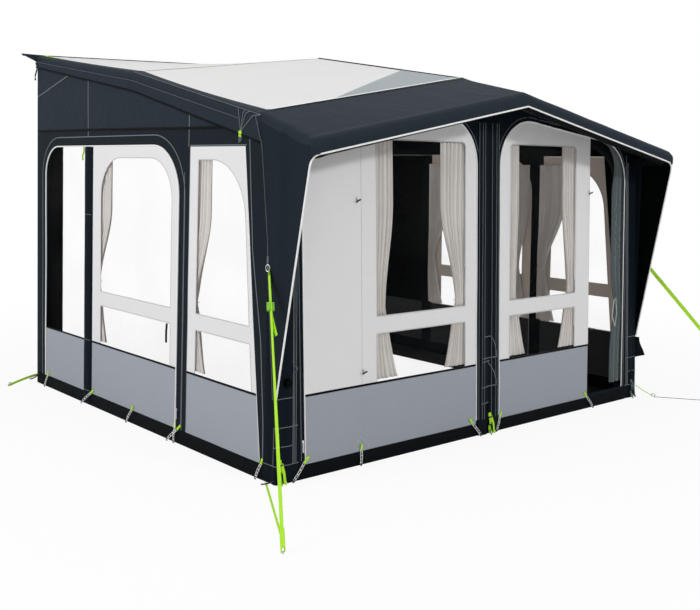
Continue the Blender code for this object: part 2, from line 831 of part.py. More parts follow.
def front_frame():
    reach = BASE_WIDTH / 2 - CORNER_FRONT - GAP
    outer = [(-reach, 0, 0), (reach, 0, 0)]
    steps = 4
    for step in range(2 * steps + 1):
        across = reach * (1 - step / steps)
        share = abs(across) / EAVE_REACH
        depth = FRONT_LEAN * hood_top(share, 0)
        height = hood_top(share, depth - FABRIC) - FABRIC - HOOD_SLACK
        outer.append((across, height, 0))
    outlines = [rounded(outer), rounded(bay(-1)), rounded(bay(1))]
    wall_sheet("front_wall_frame", DARK_FABRIC, FRONT, outlines, -FABRIC / 2, FABRIC / 2)


def window_foil(name, wall, window, finish=CLEAR_FOIL):
    high = -FABRIC / 2 - GAP
    outline = rounded(window, FOIL_LAP)
    return wall_sheet(name, finish, wall, [outline], high - FOIL, high)


def panel(name, wall, outline, windows, finish=LIGHT_FABRIC):
    """A light panel in its cut-out, with a grey mud wall along its foot."""
    outlines = [rounded(outline, -GAP)] + [rounded(window) for window in windows]
    part = wall_sheet(name, finish, wall, outlines, -FABRIC / 2, FABRIC / 2)
    part.data.materials.append(material(name + "_" + MUD_FABRIC[0], *MUD_FABRIC[1:]))
    work = bmesh.new()
    work.from_mesh(part.data)
    seam = work.verts[:] + work.edges[:] + work.faces[:]
    bmesh.ops.bisect_plane(work, geom=seam, plane_co=(0, 0, MUD_TOP), plane_no=(0, 0, 1))
    for face in work.faces:
        face.material_index = 1 if face.calc_center_median().z < MUD_TOP else 0
    work.to_mesh(part.data)
    work.free()
    return part


def side_wall(label, wall, side):
    side_frame(label, wall)
    half = FABRIC / 2
    mud = [(u, min(v, MUD_TOP), 0) for u, v, _ in REAR_PANEL]
    wall_sheet(label + "_rear_mud_wall", MUD_FABRIC, wall, [rounded(mud, -GAP)], -half, half)
    pane = [(u, MUD_TOP + GAP if v == BASE_BAND else v, radius) for u, v, radius in REAR_PANEL]
    pane_name, pane_finish = ("_rear_pane", CLEAR_FOIL)
    if label == "right":
        pane_name, pane_finish = ("_rear_blind", BLIND_FABRIC)
    wall_sheet(label + pane_name, pane_finish, wall, [rounded(pane, -GAP)], -half, half)

    windows = [
        side_window(MUD_TOP, SIDE_BAR_LOW, 0),
        side_window(SIDE_BAR_HIGH, SIDE_WINDOW_TOP, SIDE_WINDOW_ROUNDING),
    ]
    door = panel(label + "_door_panel", wall, SIDE_DOOR, windows)
    foil = window_foil(
        label + "_door_pane", wall, side_window(MUD_TOP, SIDE_WINDOW_TOP, SIDE_WINDOW_ROUNDING)
    )
    hinge = on_wall(wall, SIDE_DOOR_REAR, BASE_BAND, half)
    set_origin(door, hinge)
    set_origin(foil, hinge)

    windows = [
        small_window(MUD_TOP, SIDE_BAR_LOW, 0),
        small_window(SIDE_BAR_HIGH, SMALL_WINDOW_TOP, SMALL_WINDOW_ROUNDING),
    ]
    panel(label + "_front_panel", wall, SIDE_FRONT, windows)
    window_foil(
        label + "_front_pane", wall, small_window(MUD_TOP, SMALL_WINDOW_TOP, SMALL_WINDOW_ROUNDING)
    )


def front_wall():
    front_frame()
    for label, side in (("left", -1), ("right", 1)):
        windows = [
            front_window(side, MUD_TOP, FRONT_BAR_LOW, 0),
            front_window(side, FRONT_BAR_HIGH, FRONT_WINDOW_TOP, FRONT_WINDOW_ROUNDING),
        ]
        panel("front_" + label + "_panel", FRONT, window_panel(side), windows)
        foil = front_window(side, MUD_TOP, FRONT_WINDOW_TOP, FRONT_WINDOW_ROUNDING)
        window_foil("front_" + label + "_pane", FRONT, foil)
    leaf = panel("front_left_door", FRONT, door_leaf(-1), [])
    set_origin(leaf, on_wall(FRONT, -DOOR_SEAM, BASE_BAND, -FABRIC / 2))


def corner_sleeve(label, side):
    """The sleeve that wraps a front leg: a strip of the side wall and of the front wall."""
    steps = 4
    turn = []
    for step in range(steps + 1):
        angle = math.pi / 2 * step / steps
        behind = CORNER_ROUNDING * (1 - math.sin(angle))
        turn.append((behind, CORNER_ROUNDING * (1 - math.cos(angle))))

    def place(across, along):
        index = round(across * (steps + 2))
        height = lerp(GAP, SLEEVE_TOP, along)
        outer = side_reach(height) + FABRIC / 2
        front = FRONT_LEAN * height - FABRIC / 2
        if index == 0:
            return Vector((side * outer, CORNER_SIDE, height))
        if index == steps + 2:
            return Vector((side * (BASE_WIDTH / 2 - CORNER_FRONT), front, height))
        behind, inward = turn[index - 1]
        return Vector((side * (outer - inward), front + behind, height))

    cloth(label + "_corner_sleeve", DARK_FABRIC, steps + 2, 8, place, FABRIC, (side, -1, 0))


SLEEVE_FACE = FABRIC / 2 + GAP + FABRIC


def sleeve_bulge(u):
    return CENTRE_SLEEVE_BULGE * abs(math.sin(2 * math.pi * u / CENTRE_SLEEVE_WIDTH))


def centre_sleeve():
    """The cover over the middle leg, with two stitched tunnels side by side."""

    def place(across, along):
        u = lerp(-CENTRE_SLEEVE_WIDTH / 2, CENTRE_SLEEVE_WIDTH / 2, across)
        height = lerp(GAP, CENTRE_SLEEVE_TOP, along)
        return on_wall(FRONT, u, height, SLEEVE_FACE + sleeve_bulge(u))

    cloth("centre_sleeve", DARK_FABRIC, 16, 6, place, FABRIC, (0, -1, 0))


def seal_pad(label, wall):
    mesh = block(
        (BASE_DEPTH - PAD_DEPTH, 0, -PAD_WIDTH), (BASE_DEPTH, PAD_TOP, -FABRIC / 2 - GAP), PAD_ROUNDING
    )
    add_part(label + "_seal_pad", to_wall(mesh, wall), PAD_FABRIC)


def ground_flap(label, side):
    outer = BASE_WIDTH / 2 - FABRIC / 2 - GAP * 2
    low, high = sorted((side * outer, side * (outer - FLAP_WIDTH)))
    mesh = block((low, FLAP_FRONT, 0), (high, FLAP_REAR, FLAP_THICKNESS))
    add_part(label + "_ground_flap", mesh, FLAP_FABRIC)


# Curtains: gathered at the top, drawn in at the tie and let out again at the hem
def curtain(name, wall, edge, direction, top, top_width, folds=4):
    stand = FABRIC / 2 + GAP + FOIL + GAP
    tie_share = (CURTAIN_TIE_HEIGHT - CURTAIN_HEM) / (top - CURTAIN_HEM)

    def width(along):
        if along < tie_share:
            part_way = along / tie_share
            return lerp(CURTAIN_HEM_WIDTH, CURTAIN_TIE_WIDTH, math.sin(part_way * math.pi / 2))
        part_way = (along - tie_share) / (1 - tie_share)
        return lerp(CURTAIN_TIE_WIDTH, top_width, math.sin(part_way * math.pi / 2))

    def place(across, along):
        u = edge + direction * (CURTAIN_EDGE + width(along) * across)
        v = lerp(CURTAIN_HEM, top, along)
        wave = CURTAIN_FOLD * (1 - math.cos(2 * math.pi * folds * across))
        return on_wall(wall, u, v, -stand - CURTAIN_CLOTH / 2 - wave)

    out = wall.to_3x3() @ Vector((0, 0, 1))
    part = cloth(name, CURTAIN_FABRIC, folds * 6, 6, place, CURTAIN_CLOTH, out, 0.0)
    set_origin(part, on_wall(wall, edge + direction * CURTAIN_EDGE, top, -stand))


def curtains():
    for label, side, inner_width in (("left", -1, CURTAIN_WIDE), ("right", 1, CURTAIN_NARROW)):
        outer = side * FRONT_WINDOW_OUTER
        inner = side * FRONT_WINDOW_INNER
        curtain("front_" + label + "_outer_curtain", FRONT, outer, -side, CURTAIN_TOP, CURTAIN_NARROW)
        curtain("front_" + label + "_inner_curtain", FRONT, inner, side, CURTAIN_TOP, inner_width)
    for label, wall, _ in SIDES:
        for name, rear in (("door", SIDE_WINDOW_REAR), ("front", SMALL_WINDOW_REAR)):
            name = label + "_" + name + "_curtain"
            head = SMALL_WINDOW_TOP + CURTAIN_RISE
            curtain(name, wall, rear + CURTAIN_LAP, -1, head, CURTAIN_WIDE)


def mesh_door():
    stand = FABRIC / 2 + GAP

    def place(across, along):
        u = BAY_OUTER + MESH_EDGE - MESH_WIDTH * across
        v = lerp(MESH_HEM, MESH_TOP, along)
        wave = MESH_FOLD * (1 - math.cos(2 * math.pi * 3 * across))
        return on_wall(FRONT, u, v, -stand - CURTAIN_CLOTH / 2 - wave)

    cloth("mesh_door", MESH_FABRIC, 18, 8, place, CURTAIN_CLOTH, (0, -1, 0), 0.0)


# Straps
def strap_turn(along):
    """A turn that lays X across a strap's width, Y through it and Z along it."""
    along = along.normalized()
    across = along.cross(Vector((0, 0, 1))).normalized()
    return Matrix((across, along.cross(across), along)).transposed()


def storm_strap(label, wall, side):
    """The strap from the corner seam to its ground peg, with the buckle that tightens it."""
    half_width = STRAP_WIDTH / 2
    half_through = STRAP_THICKNESS / 2
    seam = on_wall(wall, CORNER_SIDE - STRAP_WIDTH, STORM_HEIGHT, FABRIC / 2 + GAP)
    peg = Vector((side * (BASE_WIDTH / 2 + STORM_SIDE_REACH), -STORM_FRONT_REACH, STORM_GROUND_CLEAR))
    turn = strap_turn(peg - seam)
    stand_off = abs(turn[0][0]) * half_width + abs(turn[0][1]) * half_through
    start = seam + Vector((side * stand_off, 0, 0))
    turn = strap_turn(peg - start)
    length = (peg - start).length
    frame = Matrix.Translation(start) @ turn.to_4x4()
    mesh = block((-half_width, -half_through, 0), (half_width, half_through, length))
    mesh.transform(frame)
    add_part(label + "_storm_strap", mesh, LIME_WEBBING)

    outlines = []
    for reach, through in (
        (BUCKLE_WIDTH / 2, BUCKLE_THICKNESS / 2),
        (half_width + BUCKLE_CLEARANCE, half_through + BUCKLE_CLEARANCE),
    ):
        outlines.append([(-reach, -through), (reach, -through), (reach, through), (-reach, through)])
    body = flat_sheet(outlines, 0, BUCKLE_LENGTH)
    buckle = add_part(label + "_strap_buckle", body, BLACK_PLASTIC)
    buckle.matrix_world = frame @ Matrix.Translation((0, 0, BUCKLE_DISTANCE))


def base_tie(name, across):
    """A webbing tie down a sleeve's foot, with its cam buckle, as one side profile."""
    back = FABRIC / 2 + GAP
    if abs(across) < CENTRE_SLEEVE_WIDTH:
        back = SLEEVE_FACE + sleeve_bulge(STRAP_WIDTH / 2) + GAP
    front = back + STRAP_THICKNESS
    nose = back + TIE_BUCKLE_DEPTH
    profile = [
        (back, 0),
        (front, 0),
        (front, TIE_BUCKLE_LOW),
        (nose, TIE_BUCKLE_LOW),
        (nose, lerp(TIE_BUCKLE_LOW, TIE_BUCKLE_HIGH, 0.5)),
        (front + STRAP_THICKNESS, TIE_BUCKLE_HIGH),
        (front, TIE_BUCKLE_HIGH),
        (front, TIE_TOP),
        (back, TIE_TOP),
    ]
    mesh = flat_sheet([profile], -STRAP_WIDTH / 2, STRAP_WIDTH / 2)
    turn = Matrix(((0, 0, 1, across), (0, 1, 0, 0), (1, 0, 0, 0), (0, 0, 0, 1)))
    mesh.transform(turn)
    mesh.flip_normals()
    add_part(name, to_wall(mesh, FRONT), LIME_WEBBING)


def zip_slider(name, wall, across, base):
    """A zip slider with its pull tab hanging, as one side profile."""
    back = FABRIC / 2 + GAP
    profile = [
        (back, base),
        (back + SLIDER_DEPTH / 2, base),
        (back + SLIDER_DEPTH / 2, base - PULL_LENGTH),
        (back + SLIDER_DEPTH / 2 + PULL_DEPTH, base - PULL_LENGTH),
        (back + SLIDER_DEPTH / 2 + PULL_DEPTH, base),
        (back + SLIDER_DEPTH, base + SLIDER_LENGTH / 2),
        (back + SLIDER_DEPTH / 2, base + SLIDER_LENGTH),
        (back, base + SLIDER_LENGTH),
    ]
    mesh = flat_sheet([profile], -SLIDER_WIDTH / 2, SLIDER_WIDTH / 2)
    turn = Matrix(((0, 0, 1, across), (0, 1, 0, 0), (1, 0, 0, 0), (0, 0, 0, 1)))
    mesh.transform(turn)
    mesh.flip_normals()
    part = add_part(name, to_wall(mesh, wall), ZIP_METAL)
    set_origin(part, on_wall(wall, across, base, back))


def zip_sliders():
    base = BASE_BAND + SLIDER_SILL
    for label, wall, _ in SIDES:
        zip_slider(label + "_door_zip_slider", wall, SIDE_DOOR_FRONT - SLIDER_EDGE, base)
    zip_slider("front_door_zip_slider", FRONT, -(BAY_OUTER + SLIDER_EDGE), base)


def build_awning():
    roof_panel()
    hood_cover()
    rail_bead()
    air_frame()
    brow_beam()
    inflation_valve()
    for label, wall, side in SIDES:
        hood_wing(label, wall)
        eave_band(label, side)
        side_wall(label, wall, side)
        corner_sleeve(label, side)
        seal_pad(label, wall)
        ground_flap(label, side)
        storm_strap(label, wall, side)
        base_tie(label + "_corner_tie", side * (BASE_WIDTH / 2 - CORNER_FRONT / 2))
    front_wall()
    centre_sleeve()
    base_tie("centre_tie", 0)
    curtains()
    mesh_door()
    zip_sliders()


build_awning()
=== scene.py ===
"""Looks of the caravan awning: its cloth, foil, piping, webbing and fittings.

Metres, +Z up. The front faces -Y, +X runs to the right along it and the rear meets a caravan.
"""
import math

import bpy
from mathutils import Matrix, Vector, noise


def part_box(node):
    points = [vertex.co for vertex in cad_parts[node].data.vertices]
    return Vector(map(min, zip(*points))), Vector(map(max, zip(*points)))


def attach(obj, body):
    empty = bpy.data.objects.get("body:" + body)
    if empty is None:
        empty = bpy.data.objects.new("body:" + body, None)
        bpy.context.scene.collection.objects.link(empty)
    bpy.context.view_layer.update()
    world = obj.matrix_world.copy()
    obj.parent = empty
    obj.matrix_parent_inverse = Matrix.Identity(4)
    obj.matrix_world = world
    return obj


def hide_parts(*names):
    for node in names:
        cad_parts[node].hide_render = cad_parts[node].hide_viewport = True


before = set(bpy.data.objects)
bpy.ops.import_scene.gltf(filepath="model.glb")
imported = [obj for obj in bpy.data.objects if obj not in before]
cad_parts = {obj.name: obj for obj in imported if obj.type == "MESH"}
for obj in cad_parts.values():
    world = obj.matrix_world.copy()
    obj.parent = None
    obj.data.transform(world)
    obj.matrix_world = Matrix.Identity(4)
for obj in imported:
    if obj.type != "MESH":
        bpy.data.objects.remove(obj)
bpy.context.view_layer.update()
bpy.context.scene.view_settings.view_transform = "Standard"

# Overall size and the leaning of the walls
BASE_WIDTH = 3.3
BASE_DEPTH = 3.0
SIDE_LEAN = 0.025
FRONT_LEAN = 0.039

# Cloth, foil and webbing
CLOTH = 0.0016
FOIL = 0.0008
FOIL_SET_BACK = 0.0035
WEBBING_WIDTH = 0.025
WEBBING_THICKNESS = 0.0022

# Heights that run round the walls
BASE_BAND = 0.10
SIDE_HEM = 0.087
FRONT_HEM = 0.078
MUD_TOP = 0.445
WINDOW_FOOT = 0.451
SIDE_BAR_LOW = 0.702
SIDE_BAR_HIGH = 0.802
FRONT_BAR_LOW = 0.72
FRONT_BAR_HIGH = 0.822
FOIL_LAP = 0.015

# Roof lines: height and depth at the hood line, the crease and the rail
EAVE_LINE = ((0.22, 1.916), (1.56, 2.205), (3.0, 2.41))
RIDGE_LINE = ((0.31, 2.20), (1.72, 2.425), (3.0, 2.46))
ROOF_SAG = 0.012
EAVE_SLACK = 0.02
EAVE_REACH = BASE_WIDTH / 2 - SIDE_LEAN * EAVE_LINE[1][1]
BAND_OVER = 0.07
ROOF_EDGE = EAVE_REACH - BAND_OVER
ROOF_EDGE_BOW = 0.03

# Hood
HOOD_REACH = 0.225
BROW_EDGE_HEIGHT = 1.78
BROW_PEAK_HEIGHT = 2.095
BROW_ROUNDING = 0.055
HOOD_SIDE_ROUNDING = 0.035
HOOD_FRONT_ROUNDING = 0.012
PIPING_CORNER = 0.055
BROW_DEPTH = BROW_ROUNDING - HOOD_REACH
HOOD_DROP = 0.085
HOOD_TOP_SHARE = 0.35
HOOD_ARC_SHARE = 0.8
WING_FOOT = 0.45
WING_LIFT = 0.0095

# Eave band
BAND_STAND_OFF = 0.012
BAND_ROUNDING = 0.03
BAND_DROP_FRONT = 0.15
BAND_DROP_REAR = 0.085
BAND_START = -0.006
BAND_TOP_SHARE = 0.3
BAND_ARC_SHARE = 0.7
BAND_STITCH_RISE = 0.0012
TAB_SHARE = 0.0597
SEAM_TAPE_REACH = 1.53
SEAM_TAPE_WIDTH = 0.058
# Reach and depth of the grey patch on the roof's front: painted shade of the roof's fold
SHADE_PATCH_REACH = 1.10
SHADE_PATCH_DEPTH = 0.84

# Sleeves over the legs
CORNER_SIDE = 0.115
CORNER_FRONT = 0.15
CORNER_ROUNDING = 0.025
SLEEVE_TOP = 1.795
CENTRE_SLEEVE_WIDTH = 0.19
CENTRE_SLEEVE_TOP = 1.93
CENTRE_SLEEVE_BULGE = 0.012
COLUMN_BULGE = 0.012
COLUMN_TACKS = (0.10, 0.45, 1.30)

# Air poles
POLE_RADIUS = 0.063
BEAM_RADIUS = 0.046
POLE_INSET = 0.0673
POLE_DROP = 0.085
POLE_BEND = 0.33
BEAM_TURN = 0.06
BEAM_FOOT = 0.048

# Side wall
SIDE_HEAD_HEIGHT = 1.755
SIDE_ZIP_HEIGHT = 1.858
REAR_PANEL = (2.22, 2.84, 0.20)
SIDE_DOOR = (1.0, 2.10, 0.30)
SIDE_WINDOW = (1.085, 1.977, 1.677, 0.25)
SIDE_FRONT_REAR = 0.89
SIDE_FRONT_TOP = 1.745
SIDE_FRONT_TOP_EDGE = 0.341
SIDE_FRONT_BASE_EDGE = 0.145
SMALL_WINDOW_REAR = 0.80
SMALL_WINDOW_TOP = 1.67
SMALL_WINDOW_TOP_EDGE = 0.36
SMALL_WINDOW_BASE_EDGE = 0.235
SMALL_WINDOW_ROUNDING = 0.33

# Front wall
BAY_INNER = 0.107
BAY_OUTER = 1.455
BAY_INNER_TOP = 1.985
BAY_OUTER_TOP = 1.81
BAY_ROUNDING = 0.28
DOOR_SEAM = 1.045
FRONT_WINDOW_INNER = 0.21
FRONT_WINDOW_OUTER = 0.93
RIGHT_WINDOW_OUTER = 0.888
FRONT_WINDOW_TOP = 1.7972
FRONT_WINDOW_ROUNDING = 0.025

# Curtains
CURTAIN_RISE = 0.008
CURTAIN_LAP = 0.08
CURTAIN_TOP = FRONT_WINDOW_TOP + CURTAIN_RISE
CURTAIN_HEM = 0.46
CURTAIN_TIE_HEIGHT = 0.86
CURTAIN_WIDE = 0.21
CURTAIN_NARROW = 0.14
CURTAIN_SLIM = 0.10
CURTAIN_TIE_WIDTH = 0.078
CURTAIN_HEM_WIDTH = 0.175
CURTAIN_EDGE = -0.008
CURTAIN_SET_BACK = 0.0058
CURTAIN_FOLD = 0.0125

# Mesh door
MESH_WIDTH = 0.15
MESH_HEM = 0.13
MESH_FOLD = 0.012
MESH_EDGE = 0.02
NET_PITCH = 0.0022

# Storm straps
STORM_HEIGHT = 1.10
STORM_SIDE_REACH = 0.49
STORM_FRONT_REACH = 0.70

# Peg ladders: where each hangs from the wall and how far down its hook is
LADDER_HEIGHT = 0.094
LADDER_FALL = 0.092


# Stage
FLOOR_SIZE = 80
FLOOR_DROP = 0.0006
STUDIO_LIGHT = 0.34
LOOK_DEPTH = 1.2
LOOK_HEIGHT = 1.0

# Fine measures that many pieces share
PANEL_GAP = 0.0012
SEAM_RISE = 0.0004
STITCH_RISE = 0.0006
THREAD_RISE = 0.0008
BINDING_WIDTH = 0.013
BINDING_THICKNESS = 0.0018
WELD = 0.00002
CORNER_STEPS = 14


# Modelling by hand
def select_only(*pieces):
    bpy.ops.object.select_all(action="DESELECT")
    for piece in pieces:
        piece.select_set(True)
    bpy.context.view_layer.objects.active = pieces[0]


def apply_modifiers(piece):
    select_only(piece)
    for change in list(piece.modifiers):
        bpy.ops.object.modifier_apply(modifier=change.name)


def apply_place(piece):
    select_only(piece)
    bpy.ops.object.transform_apply(location=True, rotation=True, scale=True)


def edit_whole(change, **settings):
    """One change of edit mode, on the whole of the selected piece."""
    bpy.ops.object.mode_set(mode="EDIT")
    bpy.ops.mesh.select_all(action="SELECT")
    change(**settings)
    bpy.ops.object.mode_set(mode="OBJECT")


def weld():
    edit_whole(bpy.ops.mesh.remove_doubles, threshold=WELD)
    edit_whole(bpy.ops.mesh.normals_make_consistent, inside=False)


def join(name, pieces):
    select_only(*pieces)
    if len(pieces) > 1:
        bpy.ops.object.join()
    joined = bpy.context.object
    joined.name = name
    return joined


def finish_piece(piece, finishes, body="awning", replaced=(), angle=40):
    """Gives a piece its materials, its body and the nodes that it stands for."""
    for finish in finishes:
        piece.data.materials.append(finish)
    select_only(piece)
    bpy.ops.object.shade_smooth_by_angle(angle=math.radians(angle))
    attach(piece, body)
    if replaced:
        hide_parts(*replaced)


def lerp(low, high, share):
    return low + (high - low) * share


def spread(low, high, count):
    """Values from low to high in even steps, with both ends."""
    return [lerp(low, high, step / count) for step in range(count + 1)]


def clamp(value):
    return min(max(value, 0.0), 1.0)


def ease(value):
    value = clamp(value)
    return value * value * (3 - 2 * value)


# Wall planes: u runs along the wall, v runs up it and n points out of it
def wall_matrix(along, up, out, base):
    columns = (Vector(along), Vector(up), Vector(out), Vector(base))
    rows = [[column[row] for column in columns] for row in range(3)]
    return Matrix(rows + [[0, 0, 0, 1]])


LEFT = wall_matrix((0, 1, 0), (SIDE_LEAN, 0, 1), (-1, 0, 0), (-BASE_WIDTH / 2, 0, 0))
RIGHT = wall_matrix((0, 1, 0), (-SIDE_LEAN, 0, 1), (1, 0, 0), (BASE_WIDTH / 2, 0, 0))
FRONT = wall_matrix((1, 0, 0), (0, FRONT_LEAN, 1), (0, -1, 0), (0, 0, 0))
SIDES = (("left", LEFT, -1), ("right", RIGHT, 1))


def on_wall(wall, u, v, n):
    return wall @ Vector((u, v, n))


def outward(wall):
    return wall.to_3x3() @ Vector((0, 0, 1))


def billow(wall, u, v):
    """How far a wall's cloth stands out of its plane: slack between its edges and fine creases."""
    if wall is FRONT:
        seed = 5.0
        edge = ease((BASE_WIDTH / 2 - CORNER_FRONT - abs(u)) / 0.12)
    else:
        seed = 17.0 if wall is LEFT else 31.0
        edge = ease((u - CORNER_SIDE) / 0.15) * ease((BASE_DEPTH - u) / 0.12)
        for taut in SIDE_DOOR[:2]:
            edge *= ease(abs(u - taut) / 0.12)
    rise = ease(v / 0.12) * ease((2.4 - v) / 0.3)
    slack = noise.noise(Vector((u * 1.7, v * 1.1, seed))) * 0.0045
    if wall is FRONT and 0.2 < u < 1.0:
        gathered = ease((u - 0.2) / 0.15) * ease((1.0 - u) / 0.15)
        gathered *= ease((v - 1.80) / 0.05) * ease((2.0 - v) / 0.08)
        slack += 0.0035 * gathered * math.sin((u + v * 0.8) * 2 * math.pi / 0.11)
    crease = noise.noise(Vector((u * 6.1 + v * 2.0, v * 3.3 - u, seed + 3))) * 0.0012
    return (slack + crease) * edge * rise


def rounded(corners, grow=0.0):
    """Points of an anticlockwise outline, pushed out by grow, with each corner's radius."""
    count = len(corners)
    moved = []
    for index in range(count):
        before = Vector(corners[index - 1][:2])
        here = Vector(corners[index][:2])
        after = Vector(corners[(index + 1) % count][:2])
        first = (here - before).normalized()
        second = (after - here).normalized()
        first_out = Vector((first.y, -first.x))
        second_out = Vector((second.y, -second.x))
        across = 1 + first_out.dot(second_out)
        moved.append((here + (first_out + second_out) * (grow / across), first, second))
    points = []
    for (corner, first, second), (_, _, radius) in zip(moved, corners):
        turn = first.angle_signed(second)
        if radius <= 0 or abs(turn) < 1e-4:
            points.append(tuple(corner))
            continue
        radius = radius + (grow if turn < 0 else -grow)
        reach = radius * math.tan(abs(turn) / 2)
        side = 1 if turn < 0 else -1
        inward = Vector((-first.y, first.x)) * side
        centre = corner - first * reach + inward * radius
        steps = max(3, round(CORNER_STEPS * abs(turn) / (math.pi / 2)))
        spoke = -inward * radius
        for step in range(steps + 1):
            angle = side * abs(turn) * step / steps
            points.append(tuple(centre + Matrix.Rotation(angle, 2) @ spoke))
    return points


def outline_solid(outlines, low, high):
    """A flat solid between two heights, with holes after the first outline."""
    curve = bpy.data.curves.new("outline", "CURVE")
    curve.dimensions = "2D"
    curve.fill_mode = "BOTH"
    curve.extrude = (high - low) / 2
    for points in outlines:
        spline = curve.splines.new("POLY")
        spline.points.add(len(points) - 1)
        spline.use_cyclic_u = True
        for point, place in zip(spline.points, points):
            point.co = (place[0], place[1], 0, 1)
    holder = bpy.data.objects.new("outline", curve)
    bpy.context.scene.collection.objects.link(holder)
    holder.location.z = (low + high) / 2
    select_only(holder)
    bpy.ops.object.convert(target="MESH")
    holder = bpy.context.object
    apply_place(holder)
    weld()
    return holder


def cloth_sheet(name, outlines, wall, low, high, cell=0.035, lift=None, seams=()):
    """A woven sheet on a wall, cut to its outlines, with the wall's slack and any lift in it."""
    across = [point[0] for point in outlines[0]]
    up = [point[1] for point in outlines[0]]
    margin = 0.013  # so that the grid reaches past the cut on every side
    width = max(across) - min(across) + 2 * margin
    height = max(up) - min(up) + 2 * margin
    bpy.ops.mesh.primitive_grid_add(
        x_subdivisions=max(2, round(width / cell)),
        y_subdivisions=max(2, round(height / cell)),
        size=1,
        location=(min(across) - margin + width / 2, min(up) - margin + height / 2, low),
    )
    sheet = bpy.context.object
    sheet.name = name
    sheet.scale = (width, height, 1)
    apply_place(sheet)
    wall_thickness = sheet.modifiers.new("thickness", "SOLIDIFY")
    wall_thickness.thickness = high - low
    wall_thickness.offset = 1.0
    cutter = outline_solid(outlines, low - 0.02, high + 0.02)
    cut = sheet.modifiers.new("cut", "BOOLEAN")
    cut.operation = "INTERSECT"
    cut.solver = "EXACT"
    cut.object = cutter
    apply_modifiers(sheet)
    bpy.data.objects.remove(cutter, do_unlink=True)
    mesh = sheet.data
    for height in seams:
        select_only(sheet)
        edit_whole(bpy.ops.mesh.bisect, plane_co=(0, height, 0), plane_no=(0, 1, 0))
    for face in mesh.polygons:
        face.material_index = 1 if face.normal.z < -0.5 else 0
        face.material_index += 2 * sum(face.center.y < height for height in seams)
    for vert in mesh.vertices:
        raised = lift(vert.co.x, vert.co.y) if lift else 0
        vert.co.z += billow(wall, vert.co.x, vert.co.y) + raised
    mesh.transform(wall)
    if wall.determinant() < 0:
        mesh.flip_normals()
    return sheet


def dense(points, step=0.03, closed=False):
    """Points along a path, at most one step apart."""
    ends = list(points) + ([points[0]] if closed else [])
    made = [Vector(ends[0])]
    for first, last in zip(ends, ends[1:]):
        first, last = Vector(first), Vector(last)
        count = max(1, math.ceil((last - first).length / step))
        made.extend(first.lerp(last, index / count) for index in range(1, count + 1))
    return made[:-1] if closed else made


def swept(name, points, width, height=None, closed=False, up="Z_UP", resolution=2):
    """A round trim where only a width is given, or a flat tape, swept along points."""
    curve = bpy.data.curves.new(name, "CURVE")
    curve.dimensions = "3D"
    curve.twist_mode = up
    spline = curve.splines.new("POLY")
    spline.points.add(len(points) - 1)
    spline.use_cyclic_u = closed
    for point, place in zip(spline.points, points):
        point.co = (*place, 1)
    curve.use_fill_caps = not closed
    section = None
    if height is None:
        curve.bevel_depth = width / 2
        curve.bevel_resolution = resolution
    else:
        profile = bpy.data.curves.new("section", "CURVE")
        profile.dimensions = "2D"
        edge = profile.splines.new("POLY")
        soft = height * 0.35
        half, through = width / 2, height / 2
        corners = [
            (-half + soft, -through), (half - soft, -through), (half, 0),
            (half - soft, through), (-half + soft, through), (-half, 0),
        ]
        edge.points.add(len(corners) - 1)
        edge.use_cyclic_u = True
        for point, place in zip(edge.points, corners):
            point.co = (*place, 0, 1)
        section = bpy.data.objects.new("section", profile)
        bpy.context.scene.collection.objects.link(section)
        curve.bevel_mode = "OBJECT"
        curve.bevel_object = section
    piece = bpy.data.objects.new(name, curve)
    bpy.context.scene.collection.objects.link(piece)
    select_only(piece)
    bpy.ops.object.convert(target="MESH")
    piece = bpy.context.object
    if section:
        bpy.data.objects.remove(section, do_unlink=True)
    weld()
    return piece


def tape(name, points, width, thickness):
    """A flat tape along points that twists as little as it can."""
    return swept(name, points, width, thickness, up="MINIMUM")


def wall_trim(name, points, wall, out, width, height=None, closed=False):
    """Piping or tape that follows a wall's cloth at a distance out of it."""
    path = [
        (point.x, point.y, out + billow(wall, point.x, point.y))
        for point in dense([(*place[:2], 0) for place in points], closed=closed)
    ]
    trim = swept(name, path, width, height, closed)
    trim.data.transform(wall)
    if wall.determinant() < 0:
        trim.data.flip_normals()
    return trim


def shaped_grid(name, columns, rows, place, thickness, out, offset=-1.0):
    """A sheet whose points are placed by their shares across and along it, facing out."""
    bpy.ops.mesh.primitive_grid_add(x_subdivisions=columns, y_subdivisions=rows, size=2)
    sheet = bpy.context.object
    sheet.name = name
    for vert in sheet.data.vertices:
        vert.co = place((vert.co.x + 1) / 2, (vert.co.y + 1) / 2)
    sheet.data.update()
    facing = Vector()
    for face in sheet.data.polygons:
        facing += face.normal * face.area
    if facing.dot(Vector(out)) < 0:
        sheet.data.flip_normals()
    wall = sheet.modifiers.new("thickness", "SOLIDIFY")
    wall.thickness = thickness
    wall.offset = offset
    apply_modifiers(sheet)
    return sheet


# Materials
def new_group(name, inputs, outputs):
    group = bpy.data.node_groups.new(name, "ShaderNodeTree")
    for label, kind, value in inputs:
        socket = group.interface.new_socket(label, in_out="INPUT", socket_type=kind)
        if value is not None:
            socket.default_value = value
    for label, kind in outputs:
        group.interface.new_socket(label, in_out="OUTPUT", socket_type=kind)
    return group, group.nodes.new("NodeGroupInput"), group.nodes.new("NodeGroupOutput")


def math_node(nodes, operation, *values):
    node = nodes.new("ShaderNodeMath")
    node.operation = operation
    for index, value in enumerate(values):
        if isinstance(value, (int, float)):
            node.inputs[index].default_value = value
        elif value is not None:
            node.id_data.links.new(value, node.inputs[index])
    return node.outputs[0]


def new_material(name):
    made = bpy.data.materials.new(name)
    made.use_nodes = True
    nodes = made.node_tree.nodes
    return made, nodes, made.node_tree.links, nodes["Principled BSDF"]


